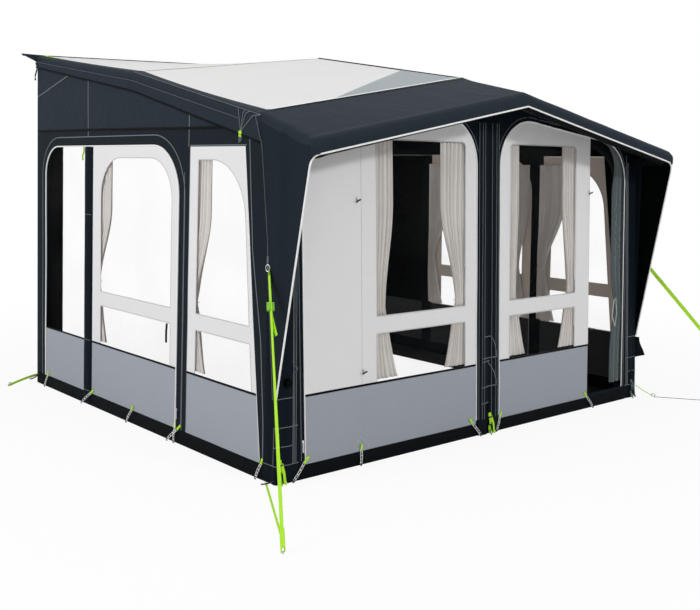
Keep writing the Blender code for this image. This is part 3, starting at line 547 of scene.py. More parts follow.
def noise_node(nodes, vector, scale, detail, distortion=0.0):
    texture = nodes.new("ShaderNodeTexNoise")
    texture.inputs["Scale"].default_value = scale
    texture.inputs["Detail"].default_value = detail
    texture.inputs["Distortion"].default_value = distortion
    texture.id_data.links.new(vector, texture.inputs["Vector"])
    return texture.outputs["Fac"]


def range_node(nodes, value, from_low, from_high, to_low, to_high):
    change = nodes.new("ShaderNodeMapRange")
    change.inputs["From Min"].default_value = from_low
    change.inputs["From Max"].default_value = from_high
    change.inputs["To Min"].default_value = to_low
    change.inputs["To Max"].default_value = to_high
    change.id_data.links.new(value, change.inputs["Value"])
    return change.outputs[0]


def bump_node(nodes, height, strength, distance, normal=None):
    bump = nodes.new("ShaderNodeBump")
    bump.inputs["Strength"].default_value = strength
    bump.inputs["Distance"].default_value = distance
    bump.id_data.links.new(height, bump.inputs["Height"])
    if normal:
        bump.id_data.links.new(normal, bump.inputs["Normal"])
    return bump.outputs["Normal"]


def build_weave():
    """Over-and-under threads as a height, from the piece's own coordinates."""
    group, source, result = new_group(
        "weave",
        [("Vector", "NodeSocketVector", None), ("Threads", "NodeSocketFloat", 700.0)],
        [("Height", "NodeSocketFloat")],
    )
    nodes, links = group.nodes, group.links
    split = nodes.new("ShaderNodeSeparateXYZ")
    links.new(source.outputs["Vector"], split.inputs[0])
    along = math_node(nodes, "ADD", split.outputs[0], split.outputs[1])
    warp = math_node(nodes, "SINE", math_node(nodes, "MULTIPLY", along, source.outputs["Threads"]))
    weft = math_node(
        nodes, "SINE", math_node(nodes, "MULTIPLY", split.outputs[2], source.outputs["Threads"])
    )
    links.new(math_node(nodes, "MULTIPLY", warp, weft), result.inputs["Height"])
    return group


def build_cloth_tone():
    """A cloth's colour with the unevenness of its dye, dust towards the ground and soft creases."""
    group, source, result = new_group(
        "cloth_tone",
        [
            ("Vector", "NodeSocketVector", None),
            ("Colour", "NodeSocketColor", (0.5, 0.5, 0.5, 1)),
            ("Variation", "NodeSocketFloat", 0.06),
            ("Dust", "NodeSocketFloat", 0.1),
        ],
        [("Colour", "NodeSocketColor"), ("Crease", "NodeSocketFloat"), ("Mottle", "NodeSocketFloat")],
    )
    nodes, links = group.nodes, group.links
    place = source.outputs["Vector"]
    patches = noise_node(nodes, place, 2.3, 6.0)
    crease = noise_node(nodes, place, 5.5, 3.0, 1.2)
    fine = noise_node(nodes, place, 140.0, 2.0)
    centred = math_node(nodes, "SUBTRACT", patches, 0.5)
    small = math_node(nodes, "MULTIPLY", math_node(nodes, "SUBTRACT", fine, 0.5), 0.5)
    change = math_node(
        nodes, "MULTIPLY", math_node(nodes, "ADD", centred, small), source.outputs["Variation"]
    )
    bright = math_node(nodes, "ADD", change, 1.0)
    scale = nodes.new("ShaderNodeVectorMath")
    scale.operation = "SCALE"
    links.new(source.outputs["Colour"], scale.inputs[0])
    links.new(bright, scale.inputs["Scale"])
    split = nodes.new("ShaderNodeSeparateXYZ")
    links.new(place, split.inputs[0])
    low = range_node(nodes, split.outputs[2], 0.0, 0.35, 1.0, 0.0)
    patchy = math_node(nodes, "MULTIPLY", low, patches)
    dusty = math_node(nodes, "MULTIPLY", patchy, source.outputs["Dust"])
    mix = nodes.new("ShaderNodeMix")
    mix.data_type = "RGBA"
    mix.inputs["B"].default_value = (0.33, 0.31, 0.27, 1)
    links.new(dusty, mix.inputs["Factor"])
    links.new(scale.outputs[0], mix.inputs["A"])
    links.new(mix.outputs["Result"], result.inputs["Colour"])
    links.new(crease, result.inputs["Crease"])
    links.new(fine, result.inputs["Mottle"])
    return group


WEAVE = build_weave()
CLOTH_TONE = build_cloth_tone()


def cloth_finish(
    name, colour, roughness=0.62, threads=700.0, relief=0.25, variation=0.08, dust=0.05, sheen=0.0,
    gloss=0.35,
):
    """A woven cloth: dyed colour, weave, soft creases and a little sheen."""
    made, nodes, links, shader = new_material(name)
    place = nodes.new("ShaderNodeTexCoord")
    tone = nodes.new("ShaderNodeGroup")
    tone.node_tree = CLOTH_TONE
    tone.inputs["Colour"].default_value = (*colour, 1)
    tone.inputs["Variation"].default_value = variation
    tone.inputs["Dust"].default_value = dust
    links.new(place.outputs["Object"], tone.inputs["Vector"])
    links.new(tone.outputs["Colour"], shader.inputs["Base Color"])
    weave = nodes.new("ShaderNodeGroup")
    weave.node_tree = WEAVE
    weave.inputs["Threads"].default_value = threads
    links.new(place.outputs["Object"], weave.inputs["Vector"])
    mottle = math_node(nodes, "MULTIPLY", tone.outputs["Mottle"], 0.12)
    links.new(math_node(nodes, "ADD", mottle, roughness - 0.06), shader.inputs["Roughness"])
    soft = bump_node(nodes, tone.outputs["Crease"], relief, 0.02)
    links.new(bump_node(nodes, weave.outputs["Height"], 0.25, 0.0004, soft), shader.inputs["Normal"])
    shader.inputs["Sheen Weight"].default_value = sheen
    shader.inputs["Sheen Roughness"].default_value = 0.4
    shader.inputs["Specular IOR Level"].default_value = gloss
    return made


def smooth_finish(name, colour, roughness, metallic=0.0):
    """Moulded plastic, metal or rubber, with a fine uneven skin."""
    made, nodes, links, shader = new_material(name)
    place = nodes.new("ShaderNodeTexCoord")
    skin = noise_node(nodes, place.outputs["Object"], 60.0, 4.0)
    mix = nodes.new("ShaderNodeMix")
    mix.data_type = "RGBA"
    mix.inputs["A"].default_value = (*colour, 1)
    mix.inputs["B"].default_value = (*[min(1, part * 1.35 + 0.01) for part in colour], 1)
    links.new(skin, mix.inputs["Factor"])
    links.new(mix.outputs["Result"], shader.inputs["Base Color"])
    rough = math_node(nodes, "ADD", math_node(nodes, "MULTIPLY", skin, 0.15), roughness - 0.07)
    links.new(rough, shader.inputs["Roughness"])
    links.new(bump_node(nodes, skin, 0.15, 0.0005), shader.inputs["Normal"])
    shader.inputs["Metallic"].default_value = metallic
    return made


def foil_finish(name, colour, low_alpha, high_alpha):
    """Clear soft foil: nearly unseen head-on, with faint waves and a shine at a glance."""
    made, nodes, links, shader = new_material(name)
    shader.inputs["Base Color"].default_value = (*colour, 1)
    shader.inputs["Roughness"].default_value = 0.06
    place = nodes.new("ShaderNodeTexCoord")
    waves = noise_node(nodes, place.outputs["Object"], 3.0, 2.0)
    links.new(bump_node(nodes, waves, 0.2, 0.02), shader.inputs["Normal"])
    links.new(range_node(nodes, waves, 0.35, 0.65, low_alpha, high_alpha), shader.inputs["Alpha"])
    return made


def mesh_finish(name, colour):
    """Fine insect net: a square pattern of threads with open gaps."""
    made, nodes, links, shader = new_material(name)
    shader.inputs["Base Color"].default_value = (*colour, 1)
    shader.inputs["Roughness"].default_value = 0.8
    place = nodes.new("ShaderNodeTexCoord")
    split = nodes.new("ShaderNodeSeparateXYZ")
    links.new(place.outputs["Object"], split.inputs[0])
    pitch = 2 * math.pi / NET_PITCH
    across = math_node(nodes, "ADD", split.outputs[0], split.outputs[1])
    warp = math_node(nodes, "COSINE", math_node(nodes, "MULTIPLY", across, pitch))
    weft = math_node(nodes, "COSINE", math_node(nodes, "MULTIPLY", split.outputs[2], pitch))
    thread = math_node(nodes, "MAXIMUM", warp, weft)
    links.new(range_node(nodes, thread, 0.1, 0.6, 0.35, 1.0), shader.inputs["Alpha"])
    return made


DARK = cloth_finish("dark_cloth", (0.0172, 0.0249, 0.0350), relief=0.3, dust=0.0, gloss=0.06)
WING = cloth_finish("wing_cloth", (0.0128, 0.0185, 0.0262), relief=0.3, dust=0.0, gloss=0.04)
# Near-black inner faces of the dark cloth, far darker than its outside: painted shade inside the awning
# and under the hood
SHADED_INSIDE = cloth_finish("inner_cloth", (0.0022, 0.0030, 0.0036), 0.8, relief=0.3, dust=0.0, gloss=0.02)
DEEP = cloth_finish("sleeve_cloth", (0.0062, 0.0098, 0.0150), relief=0.35, dust=0.0, gloss=0.03)
FRAME = cloth_finish(
    "frame_cloth", (0.0105, 0.0155, 0.0210), relief=0.3, variation=0.1, dust=0.0, gloss=0.04
)
BASE = cloth_finish("base_band_cloth", (0.0026, 0.0040, 0.0054), 0.6, relief=0.3, dust=0.004, gloss=0.04)
DARK_TRIM = cloth_finish("dark_trim", (0.0030, 0.0040, 0.0050), 0.6, relief=0.1, dust=0.0, gloss=0.05)
LIGHT = cloth_finish("light_cloth", (0.79, 0.785, 0.795), 0.75, relief=0.18, variation=0.03, dust=0.05)
LINING = cloth_finish("light_lining", (0.66, 0.57, 0.49), 0.8, relief=0.18, variation=0.05)
HEM = cloth_finish("window_hem", (0.56, 0.555, 0.56), 0.75, relief=0.1, variation=0.05)
ROOF = cloth_finish("roof_cloth", (0.80, 0.80, 0.795), 0.68, variation=0.035, dust=0.0, gloss=0.2)
ROOF_SEAM = cloth_finish("roof_seam", (0.56, 0.55, 0.53), 0.68, relief=0.1, dust=0.0, gloss=0.2)
# Bluish grey for the patch on the roof's front: painted shade of the roof's fold
ROOF_PAINTED_SHADE = cloth_finish("roof_painted_shade_patch", (0.36, 0.40, 0.42), 0.6, dust=0.0, gloss=0.2)
SEAM_TAPE = cloth_finish("seam_tape", (0.93, 0.93, 0.92), 0.6, relief=0.1, variation=0.03, dust=0.0)
MUD = cloth_finish(
    "mud_cloth", (0.335, 0.36, 0.41), 0.55, relief=0.2, variation=0.05, dust=0.1, gloss=0.25
)
# Near-black inner face of the grey mud walls: painted shade inside the awning
MUD_INSIDE_SHADE = cloth_finish("mud_inside_painted_shade", (0.022, 0.023, 0.025), 0.7, dust=0.0, gloss=0.1)
CURTAIN = cloth_finish(
    "curtain_cloth", (0.76, 0.725, 0.69), 0.9, 1400.0, relief=0.3, variation=0.3, dust=0.0, sheen=0.1,
    gloss=0.1,
)
BLIND = cloth_finish("blind_cloth", (0.0009, 0.0009, 0.0013), 0.8, relief=0.3, dust=0.0, gloss=0.01)
PAD = cloth_finish("pad_cloth", (0.0022, 0.0025, 0.0032), 0.8, relief=0.3, dust=0.0, gloss=0.03)
FLAP = cloth_finish("flap_cloth", (0.008, 0.009, 0.010), 0.6, relief=0.4, dust=0.02, gloss=0.1)
SLEEVE = cloth_finish("air_sleeve_cloth", (0.003, 0.004, 0.005), 0.6, relief=0.35, dust=0.0, gloss=0.06)
WHITE_TRIM = cloth_finish("white_piping", (0.92, 0.92, 0.91), 0.5, relief=0.1, dust=0.0)
GREY_TRIM = cloth_finish("grey_stitching", (0.17, 0.19, 0.205), 0.6, relief=0.1, dust=0.0, gloss=0.1)
TIE = cloth_finish("tie_webbing", (0.10, 0.13, 0.14), 0.6, 2400.0, relief=0.1, dust=0.0, gloss=0.1)
LIME = cloth_finish("lime_webbing", (0.46, 0.86, 0.02), 0.6, 2400.0, relief=0.1, dust=0.0)
LIME_PLASTIC = smooth_finish("lime_plastic", (0.17, 0.46, 0.012), 0.4)
BEAD = smooth_finish("bead_cord", (0.006, 0.007, 0.008), 0.6)
PLASTIC = smooth_finish("black_plastic", (0.004, 0.004, 0.005), 0.5)
STEEL = smooth_finish("steel", (0.50, 0.51, 0.52), 0.32, metallic=1.0)
CLEAR = foil_finish("clear_foil", (0.05, 0.055, 0.06), 0.012, 0.03)
NET = mesh_finish("insect_net", (0.145, 0.175, 0.185))


# Roof surface, as in the solids
def lines_at(share):
    """Depth and height of the hood line, crease and rail between the ridge (0) and the eave (1)."""
    return [
        (lerp(ridge[0], eave[0], share), lerp(ridge[1], eave[1], share))
        for ridge, eave in zip(RIDGE_LINE, EAVE_LINE)
    ]


def roof_height(share, depth):
    hood, crease, rail = lines_at(share)
    near, far = (crease, rail) if depth >= crease[0] else (hood, crease)
    part_way = (depth - near[0]) / (far[0] - near[0])
    sag = ROOF_SAG * math.sin(math.pi * clamp(part_way)) * math.sin(math.pi * min(share, 1))
    return lerp(near[1], far[1], part_way) - sag


def roof_depth(share, along):
    hood, crease, rail = lines_at(share)
    if along < 0.5:
        return lerp(hood[0], crease[0], along * 2)
    return lerp(crease[0], rail[0], along * 2 - 1)


def side_reach(height):
    return BASE_WIDTH / 2 - SIDE_LEAN * height


def brow_height(share):
    return lerp(BROW_PEAK_HEIGHT, BROW_EDGE_HEIGHT, share)


def hood_top(share, depth):
    line_depth, line_height = lines_at(share)[0]
    return lerp(brow_height(share), line_height, (depth - BROW_DEPTH) / (line_depth - BROW_DEPTH))


def hood_section(share, along):
    """Depth and height across the hood, from the hood line (0) to the piping (1)."""
    line_depth, line_height = lines_at(share)[0]
    brow = brow_height(share)
    if along <= HOOD_TOP_SHARE:
        part_way = along / HOOD_TOP_SHARE
        return lerp(line_depth, BROW_DEPTH, part_way), lerp(line_height, brow, part_way)
    if along <= HOOD_ARC_SHARE:
        angle = math.pi / 2 * (along - HOOD_TOP_SHARE) / (HOOD_ARC_SHARE - HOOD_TOP_SHARE)
        return (
            BROW_DEPTH - BROW_ROUNDING * math.sin(angle),
            brow - BROW_ROUNDING * (1 - math.cos(angle)),
        )
    part_way = (along - HOOD_ARC_SHARE) / (1 - HOOD_ARC_SHARE)
    return -HOOD_REACH, brow - lerp(BROW_ROUNDING, HOOD_DROP, part_way)


def roof_edge(along):
    """How far out the roof cloth reaches, pulled out a little between its poles."""
    return ROOF_EDGE + ROOF_EDGE_BOW * abs(math.sin(2 * math.pi * clamp(along)))


def roof_surface(across, depth):
    """The roof cloth's height, with its slack between the air poles."""
    share = abs(across) / EAVE_REACH
    hood, _, rail = lines_at(share)
    along = clamp((depth - hood[0]) / (rail[0] - hood[0]))
    side = across / ROOF_EDGE
    ripple = noise.noise(Vector((side * 2.6, depth * 2.1, 1.5))) * 0.004
    pull = math.sin(math.pi * along) * math.sin(math.pi * min(abs(side), 1))
    return roof_height(share, depth) + ripple * pull


def roof_sheet():
    """The light roof over the air poles, with its slack between them and a welded crease."""

    def place(across, along):
        reach = (across * 2 - 1) * roof_edge(along)
        depth = roof_depth(abs(reach) / EAVE_REACH, along)
        return Vector((reach, depth, roof_surface(reach, depth)))

    roof = shaped_grid("roof_cloth", 90, 80, place, CLOTH, (0, 0, 1))
    finish_piece(roof, [ROOF], replaced=["roof_panel"])


def hood_side_rounding(along):
    """How far the hood's sides roll down: softly on top, and less towards the piping."""
    return lerp(HOOD_SIDE_ROUNDING, HOOD_FRONT_ROUNDING, ease((along - 0.3) / 0.6))


def hood_point(side, along):
    """A point on the hood, from its left side (-1) to its right (1)."""
    depth, height = hood_section(min(abs(side), 1), along)
    ahead_depth, ahead_height = hood_section(min(abs(side), 1), min(along + 0.01, 1))
    back_depth, back_height = hood_section(min(abs(side), 1), max(along - 0.01, 0))
    run = Vector((ahead_depth - back_depth, ahead_height - back_height)).normalized()
    rounding = hood_side_rounding(along)
    reach = side_reach(height) + CLOTH / 2 + wing_lift(depth) + 0.0024
    travel = abs(side) * (reach - rounding + rounding * math.pi / 2)
    turn = max(0, travel - (reach - rounding)) / rounding
    across = min(travel, reach - rounding) + rounding * math.sin(turn)
    drop = rounding * (1 - math.cos(turn))
    return Vector((math.copysign(across, side), depth - drop * run.y, height + drop * run.x))


def hood_corner(side):
    """Where the piping turns from the hood's lower edge down a wing, with a round corner."""
    corner = hood_point(side, 1)
    inner = hood_point(side * 0.9, 1)
    foot = Vector((side * (side_reach(WING_FOOT) + CLOTH / 2), FRONT_LEAN * WING_FOOT, WING_FOOT))
    first = corner + (inner - corner).normalized() * PIPING_CORNER
    last = corner + (foot - corner).normalized() * PIPING_CORNER
    return corner, first, last, foot


def hood_sheet():
    """The hood over its brow, with the small fills where its piping turns down the wings."""

    def place(across, along):
        side = across * 2 - 1
        spot = hood_point(side, along)
        pull = math.sin(math.pi * clamp(along / HOOD_TOP_SHARE)) * math.sin(math.pi * abs(side))
        ripple = noise.noise(Vector((side * 3.4, along * 2.0, 8.5))) * 0.004 * pull
        lump = noise.noise(Vector((side * 9.0, along * 3.0, 2.5))) * 0.0012 * (1 - abs(side) ** 8)
        return spot + Vector((0, -lump, ripple + lump))

    pieces = [shaped_grid("hood_cloth", 160, 44, place, CLOTH, (0, -1, 1))]
    for side in (-1, 1):
        corner, first, last, _ = hood_corner(side)
        curve = bend(first, corner, last, 10)
        sharp = dense([first, corner, last], PIPING_CORNER / 4.9)

        def fill(across, along, curve=curve, sharp=sharp):
            index = round(along * 10)
            return sharp[index].lerp(curve[index], across) + Vector((0, 0.0012, 0))

        pieces.append(shaped_grid("hood_corner", 3, 10, fill, CLOTH, (side * 0.3, -1, 0)))
    hood = join("hood_cloth", pieces)
    # Faces that look into the hood take the near-black inner finish, which paints the shade under the
    # hood
    for face in hood.data.polygons:
        core = Vector((face.center.x * 0.85, 0.1, 1.7))
        face.material_index = 1 if face.normal.dot(face.center - core) < 0 else 0
    finish_piece(hood, [DARK, SHADED_INSIDE], replaced=["hood_cover"])


def hood_edge():
    """White piping along the hood's lower edge, round its corners and down its wings."""
    path = [hood_point(side / 24 * 0.965, 1) for side in range(-24, 25)]
    for side in (-1, 1):
        corner, first, last, foot = hood_corner(side)
        run = bend(first, corner, last, 8) + dense([last, foot], 0.05)[1:]
        path = path + run if side > 0 else list(reversed(run)) + path
    piping = swept("hood_piping", path, 0.010)
    finish_piece(piping, [WHITE_TRIM], angle=70)


def wing_outline():
    """A wing from its piping back to the strap's seam, and up under the hood's rolled side."""
    under = HOOD_SIDE_ROUNDING - 0.003
    top_back = EAVE_LINE[0][0] - 0.006
    return [
        (FRONT_LEAN * WING_FOOT, WING_FOOT, 0),
        (0.036, WING_FOOT, 0),
        (0.105, STORM_HEIGHT, 0),
        (0.116, 1.267, 0),
        (0.153, 1.521, 0),
        (0.187, 1.76, 0),
        (top_back, hood_top(1, top_back) - under, 0),
        (BROW_DEPTH, brow_height(1) - under, 0),
        (-HOOD_REACH + HOOD_FRONT_ROUNDING, brow_height(1) - under, 0.03),
        (-HOOD_REACH + HOOD_FRONT_ROUNDING, brow_height(1) - HOOD_DROP, 0),
    ]


def wing_lift(u):
    """How far a wing stands off its wall, to clear the sleeve that it lies over."""
    return WING_LIFT * ease((u + 0.03) / 0.05)


def wing_rear_line():
    """The stitched line down a wing's rear edge, from the eave corner to the strap's seam."""
    corners = [point[:2] for point in wing_outline()[1:6]]
    lower = [(u - 0.005, v) for u, v in reversed(corners)]
    return [(EAVE_LINE[0][0] + 0.016, 1.893)] + lower


def hood_wings():
    """The hood's two side wings, which lie over the corner sleeves."""
    for label, wall, _ in SIDES:
        wing = cloth_sheet(
            label + "_wing_cloth", [rounded(wing_outline())], wall, -CLOTH / 2, CLOTH / 2, 0.025,
            lift=lambda u, v: wing_lift(u),
        )
        finish_piece(wing, [WING, SHADED_INSIDE], replaced=[label + "_hood_wing"])
        path = [
            on_wall(wall, u, v, CLOTH / 2 + wing_lift(u) + 0.0012 + 0.0045 * ease((v - 1.70) / 0.1))
            for u, v, _ in dense([(*point, 0) for point in wing_rear_line()], 0.03)
        ]
        line = tape(label + "_wing_line", path, 0.007, 0.0018)
        finish_piece(line, [GREY_TRIM])


def band_point(side, across, along, stand_off=0.0):
    """A point on the band that rolls over an eave, across it from the roof to its hem."""
    outer = side_reach(roof_height(1, roof_depth(1, along))) + BAND_STAND_OFF
    centre = outer - BAND_ROUNDING
    arc = BAND_ARC_SHARE - BAND_TOP_SHARE
    turn = clamp((across - BAND_TOP_SHARE) / arc) * math.pi / 2
    reach = lerp(roof_edge(along), centre, min(across / BAND_TOP_SHARE, 1))
    depth = roof_depth(reach / EAVE_REACH, along)
    radius = BAND_ROUNDING + stand_off
    height = roof_height(reach / EAVE_REACH, depth) + stand_off - radius * (1 - math.cos(turn))
    if across > BAND_ARC_SHARE:
        drop = lerp(BAND_DROP_FRONT, BAND_DROP_REAR, along) - BAND_ROUNDING
        height -= drop * (across - BAND_ARC_SHARE) / (1 - BAND_ARC_SHARE)
    flutter = noise.noise(Vector((depth * 5, across * 2, side))) * 0.003 * across
    return Vector((side * (reach + radius * math.sin(turn) + flutter), depth, height))


def band_share(drop, along):
    """The share across a band that hangs a drop below the roof."""
    if drop <= BAND_ROUNDING:
        turn = math.acos(1 - drop / BAND_ROUNDING) / (math.pi / 2)
        return lerp(BAND_TOP_SHARE, BAND_ARC_SHARE, turn)
    full = lerp(BAND_DROP_FRONT, BAND_DROP_REAR, along)
    return lerp(BAND_ARC_SHARE, 1, (drop - BAND_ROUNDING) / (full - BAND_ROUNDING))


def eave_bands():
    """The dark band over each side's eave."""
    for label, _, side in SIDES:

        def place(across, along, side=side):
            return band_point(side, across, lerp(BAND_START, 1, along))

        band = shaped_grid(label + "_band_cloth", 24, 100, place, CLOTH, (side, 0, 1))
        finish_piece(band, [DARK], replaced=[label + "_eave_band"])


def rail_corner(label, side):
    """The pointed end of an eave band, drawn out along the bead to the caravan's rail."""
    root, tip = EAVE_REACH - 0.05, EAVE_REACH + 0.118
    height = EAVE_LINE[2][1] + 0.006

    def place(across, along):
        x = lerp(root, tip, along)
        drop = lerp(0.085, 0.006, along ** 0.8)
        fold = 0.006 * math.sin(across * math.pi) * (1 - along)
        return Vector((side * x, BASE_DEPTH - 0.006 - fold, height - drop * across))

    corner = shaped_grid(label + "_rail_corner", 8, 16, place, CLOTH, (0, -1, 0))
    finish_piece(corner, [DARK])


def band_stitching():
    """Two lines along each band, and the fan of stitches that gathers it to its corner tab."""
    for label, _, side in SIDES:
        lines = []
        for first, last, near_drop, far_drop in (
            (BAND_START, 0.5, 0.012, 0.004), (0.066, 1.0, 0.064, 0.046),
        ):
            path = [
                band_point(side, band_share(drop, along), along, BAND_STITCH_RISE)
                for along, drop in zip(spread(first, last, 60), spread(near_drop, far_drop, 60))
            ]
            lines.append(tape("band_line", path, 0.0065, 0.0018))
        for start in (0.070, 0.045, 0.031, BAND_START):
            path = []
            for step, along in enumerate(spread(start, TAB_SHARE, 14)):
                across = lerp(band_share(0.012, along), 0.96, step / 14)
                path.append(band_point(side, across, along, BAND_STITCH_RISE))
            lines.append(swept("fan_line", path, 0.0045))
        finish_piece(join(label + "_band_stitching", lines), [GREY_TRIM], angle=60)
        # A near-black cord along each band's hem: the folded hem, with the shadow under it painted into
        # its dark colour
        hem = [band_point(side, 1.0, along) for along in spread(BAND_START, 1.0, 60)]
        finish_piece(swept(label + "_band_hem_shadow", hem, 0.011), [DARK_TRIM], angle=60)

        top = band_point(side, 0.95, TAB_SHARE, 0.003)
        low = band_point(side, 1.0, TAB_SHARE, 0.003) - Vector((0, 0, 0.012))
        tab = tape(label + "_corner_tab", dense([top, low], 0.008), 0.026, 0.004)
        finish_piece(tab, [LIME])
        end = Vector((side * (side_reach(1.77) + 0.004), low.y + 0.01, 1.765))
        tie = tape(label + "_corner_tie_tape", dense([low, end], 0.01), 0.018, 0.0016)
        finish_piece(tie, [GREY_TRIM])

        rest = [band_point(side, 0.12, along, 0.004) for along in spread(0.955, 0.985, 5)]
        finish_piece(tape(label + "_rail_tab", rest, 0.030, 0.006), [LIME])
        edge = Vector((side * (EAVE_REACH + 0.012), BASE_DEPTH - 0.004, EAVE_LINE[2][1] - 0.05))
        drops = [
            edge - Vector((side * 0.008 * math.sin(step * 0.7), 0, 0.016 * step)) for step in range(9)
        ]
        finish_piece(swept(label + "_rail_cord", drops, 0.011), [BEAD], angle=60)
        rail_corner(label, side)


def roof_trims():
    """White tape along the hood's seam, and a darker grey patch in the middle of the roof's front, which
    is painted shade of the roof's fold.
    """
    path = []
    for across in spread(-SEAM_TAPE_REACH, SEAM_TAPE_REACH, 80):
        share = abs(across) / EAVE_REACH
        depth = lines_at(share)[0][0] + SEAM_TAPE_WIDTH * 0.42
        path.append((across, depth, roof_height(share, depth) + 0.0042))
    finish_piece(swept("roof_seam_tape", path, SEAM_TAPE_WIDTH, 0.0016), [SEAM_TAPE])

    path = []
    for across in spread(-ROOF_EDGE, ROOF_EDGE, 80):
        depth = lines_at(abs(across) / EAVE_REACH)[1][0]
        path.append((across, depth, roof_surface(across, depth) + 0.0012))
    finish_piece(swept("roof_crease_tape", path, 0.012, 0.0014), [ROOF_SEAM])

    (hood_depth, _), (crease_depth, _), _ = lines_at(0)
    depths = spread(hood_depth + 0.02, crease_depth, 40)
    path = [(0, depth, roof_height(0, depth) + 0.002) for depth in depths]
    finish_piece(swept("ridge_piping", path, 0.010), [DARK_TRIM], angle=60)
    path = []
    tape_depth = BASE_DEPTH - 0.012
    for across in spread(-ROOF_EDGE - 0.05, ROOF_EDGE + 0.05, 60):
        height = roof_height(abs(across) / EAVE_REACH, tape_depth)
        path.append((across, tape_depth, height + 0.003))
    finish_piece(swept("rail_tape", path, 0.020, 0.004), [DARK_TRIM])

    # A thin grey sheet over the middle of the roof's front, painting the shade of the roof's fold
    def place(across, along):
        side = across * 2 - 1
        x = side * SHADE_PATCH_REACH
        share = abs(x) / EAVE_REACH
        near = lines_at(share)[0][0] + 0.004
        depth = lerp(near, lerp(SHADE_PATCH_DEPTH, near, abs(side)), along)
        return Vector((x, depth, roof_surface(x, depth) + 0.0022))

    brace = shaped_grid("roof_painted_shade_patch", 64, 16, place, 0.0008, (0, 0, 1))
    finish_piece(brace, [ROOF_PAINTED_SHADE])


# Outlines on the walls
def panel_outline(front, rear, top, front_round, rear_round):
    return [
        (front, BASE_BAND, 0),
        (rear, BASE_BAND, 0),
        (rear, top, rear_round),
        (front, top, front_round),
    ]


REAR_OUTLINE = panel_outline(REAR_PANEL[0], REAR_PANEL[1], SIDE_HEAD_HEIGHT, 0, REAR_PANEL[2])
DOOR_OUTLINE = panel_outline(SIDE_DOOR[0], SIDE_DOOR[1], SIDE_HEAD_HEIGHT, SIDE_DOOR[2], 0)
SIDE_FRONT_OUTLINE = [
    (SIDE_FRONT_BASE_EDGE, BASE_BAND, 0),
    (SIDE_FRONT_REAR, BASE_BAND, 0),
    (SIDE_FRONT_REAR, SIDE_FRONT_TOP, 0),
    (SIDE_FRONT_TOP_EDGE, SIDE_FRONT_TOP, 0),
]


def side_window(low, high, top_rounding):
    front, rear = SIDE_WINDOW[:2]
    return [(front, low, 0), (rear, low, 0), (rear, high, top_rounding), (front, high, top_rounding)]


def small_window(low, high, top_rounding):
    def edge(height):
        share = (height - MUD_TOP) / (SMALL_WINDOW_TOP - MUD_TOP)
        return lerp(SMALL_WINDOW_BASE_EDGE, SMALL_WINDOW_TOP_EDGE, share)

    return [
        (edge(low), low, 0),
        (SMALL_WINDOW_REAR, low, 0),
        (SMALL_WINDOW_REAR, high, 0),
        (edge(high), high, top_rounding),
    ]


def mirrored(corners, side):
    if side > 0:
        return corners
    return [(-u, v, radius) for u, v, radius in reversed(corners)]


def front_window(side, low, high, top_rounding, outer=FRONT_WINDOW_OUTER):
    return mirrored(
        [
            (FRONT_WINDOW_INNER, low, 0),
            (outer, low, 0),
            (outer, high, top_rounding),
            (FRONT_WINDOW_INNER, high, top_rounding),
        ],
        side,
    )


def bay_top(across):
    share = (across - BAY_INNER) / (BAY_OUTER - BAY_INNER)
    return lerp(BAY_INNER_TOP, BAY_OUTER_TOP, share)


def bay(side, inner=BAY_INNER, outer=BAY_OUTER):
    """A bay, or the part of it up to its door seam, with only the bay's own corners rounded."""
    return mirrored(
        [
            (inner, BASE_BAND, 0),
            (outer, BASE_BAND, 0),
            (outer, bay_top(outer), BAY_ROUNDING if outer == BAY_OUTER else 0),
            (inner, bay_top(inner), BAY_ROUNDING if inner == BAY_INNER else 0),
        ],
        side,
    )


def above(corners, height):
    """The part of an outline above a height that its two lowest corners stand below."""
    return [
        (sloped(corners, u, v, height), height, 0) if v < height else (u, v, radius)
        for u, v, radius in corners
    ]


def below(corners, height):
    return [
        (sloped(corners, u, v, height), height, 0) if v > height else (u, v, radius)
        for u, v, radius in corners
    ]


def sloped(corners, u, v, height):
    """Where the upright edge that passes a corner crosses a height."""
    index = [(corner[0], corner[1]) for corner in corners].index((u, v))
    for other in (corners[index - 1], corners[(index + 1) % len(corners)]):
        if abs(other[1] - v) > 0.2:
            return lerp(u, other[0], (height - v) / (other[1] - v))
    return u


def binding_tape(name, edge, wall, body="awning"):
    """The dark tape over the seam between a panel and its mud wall."""
    rise = CLOTH / 2 + STITCH_RISE
    binding = wall_trim(name, edge, wall, rise, BINDING_WIDTH, BINDING_THICKNESS)
    finish_piece(binding, [DARK_TRIM], body)


def panel_pieces(name, node, wall, outline, windows, body):
    """A light panel with its windows, sewn to the grey mud wall along its foot."""
    upper = [rounded(above(outline, MUD_TOP), -PANEL_GAP)] + [rounded(window) for window in windows]
    lower = [rounded(below(outline, MUD_TOP), -PANEL_GAP)]
    parts = [cloth_sheet(name, cut, wall, -CLOTH / 2, CLOTH / 2) for cut in (upper, lower)]
    panel = join(name + "_cloth", parts)
    for face in panel.data.polygons:
        inner = 1 if face.normal.dot(outward(wall)) < -0.5 else 0
        face.material_index = inner + (2 if face.center.z < MUD_TOP else 0)
    finish_piece(panel, [LIGHT, LINING, MUD, MUD_INSIDE_SHADE], body, [node])
    edge = [(u, MUD_TOP) for u, v, _ in below(outline, MUD_TOP) if v == MUD_TOP]
    binding_tape(name + "_binding", edge, wall, body)


def foil(name, node, wall, outline, body):
    """A clear window behind a panel, lapped behind the panel's cloth."""
    clear = cloth_sheet(
        name, [rounded(outline, FOIL_LAP)], wall, -FOIL_SET_BACK - FOIL, -FOIL_SET_BACK, 0.06
    )
    finish_piece(clear, [CLEAR, CLEAR], body, [node])


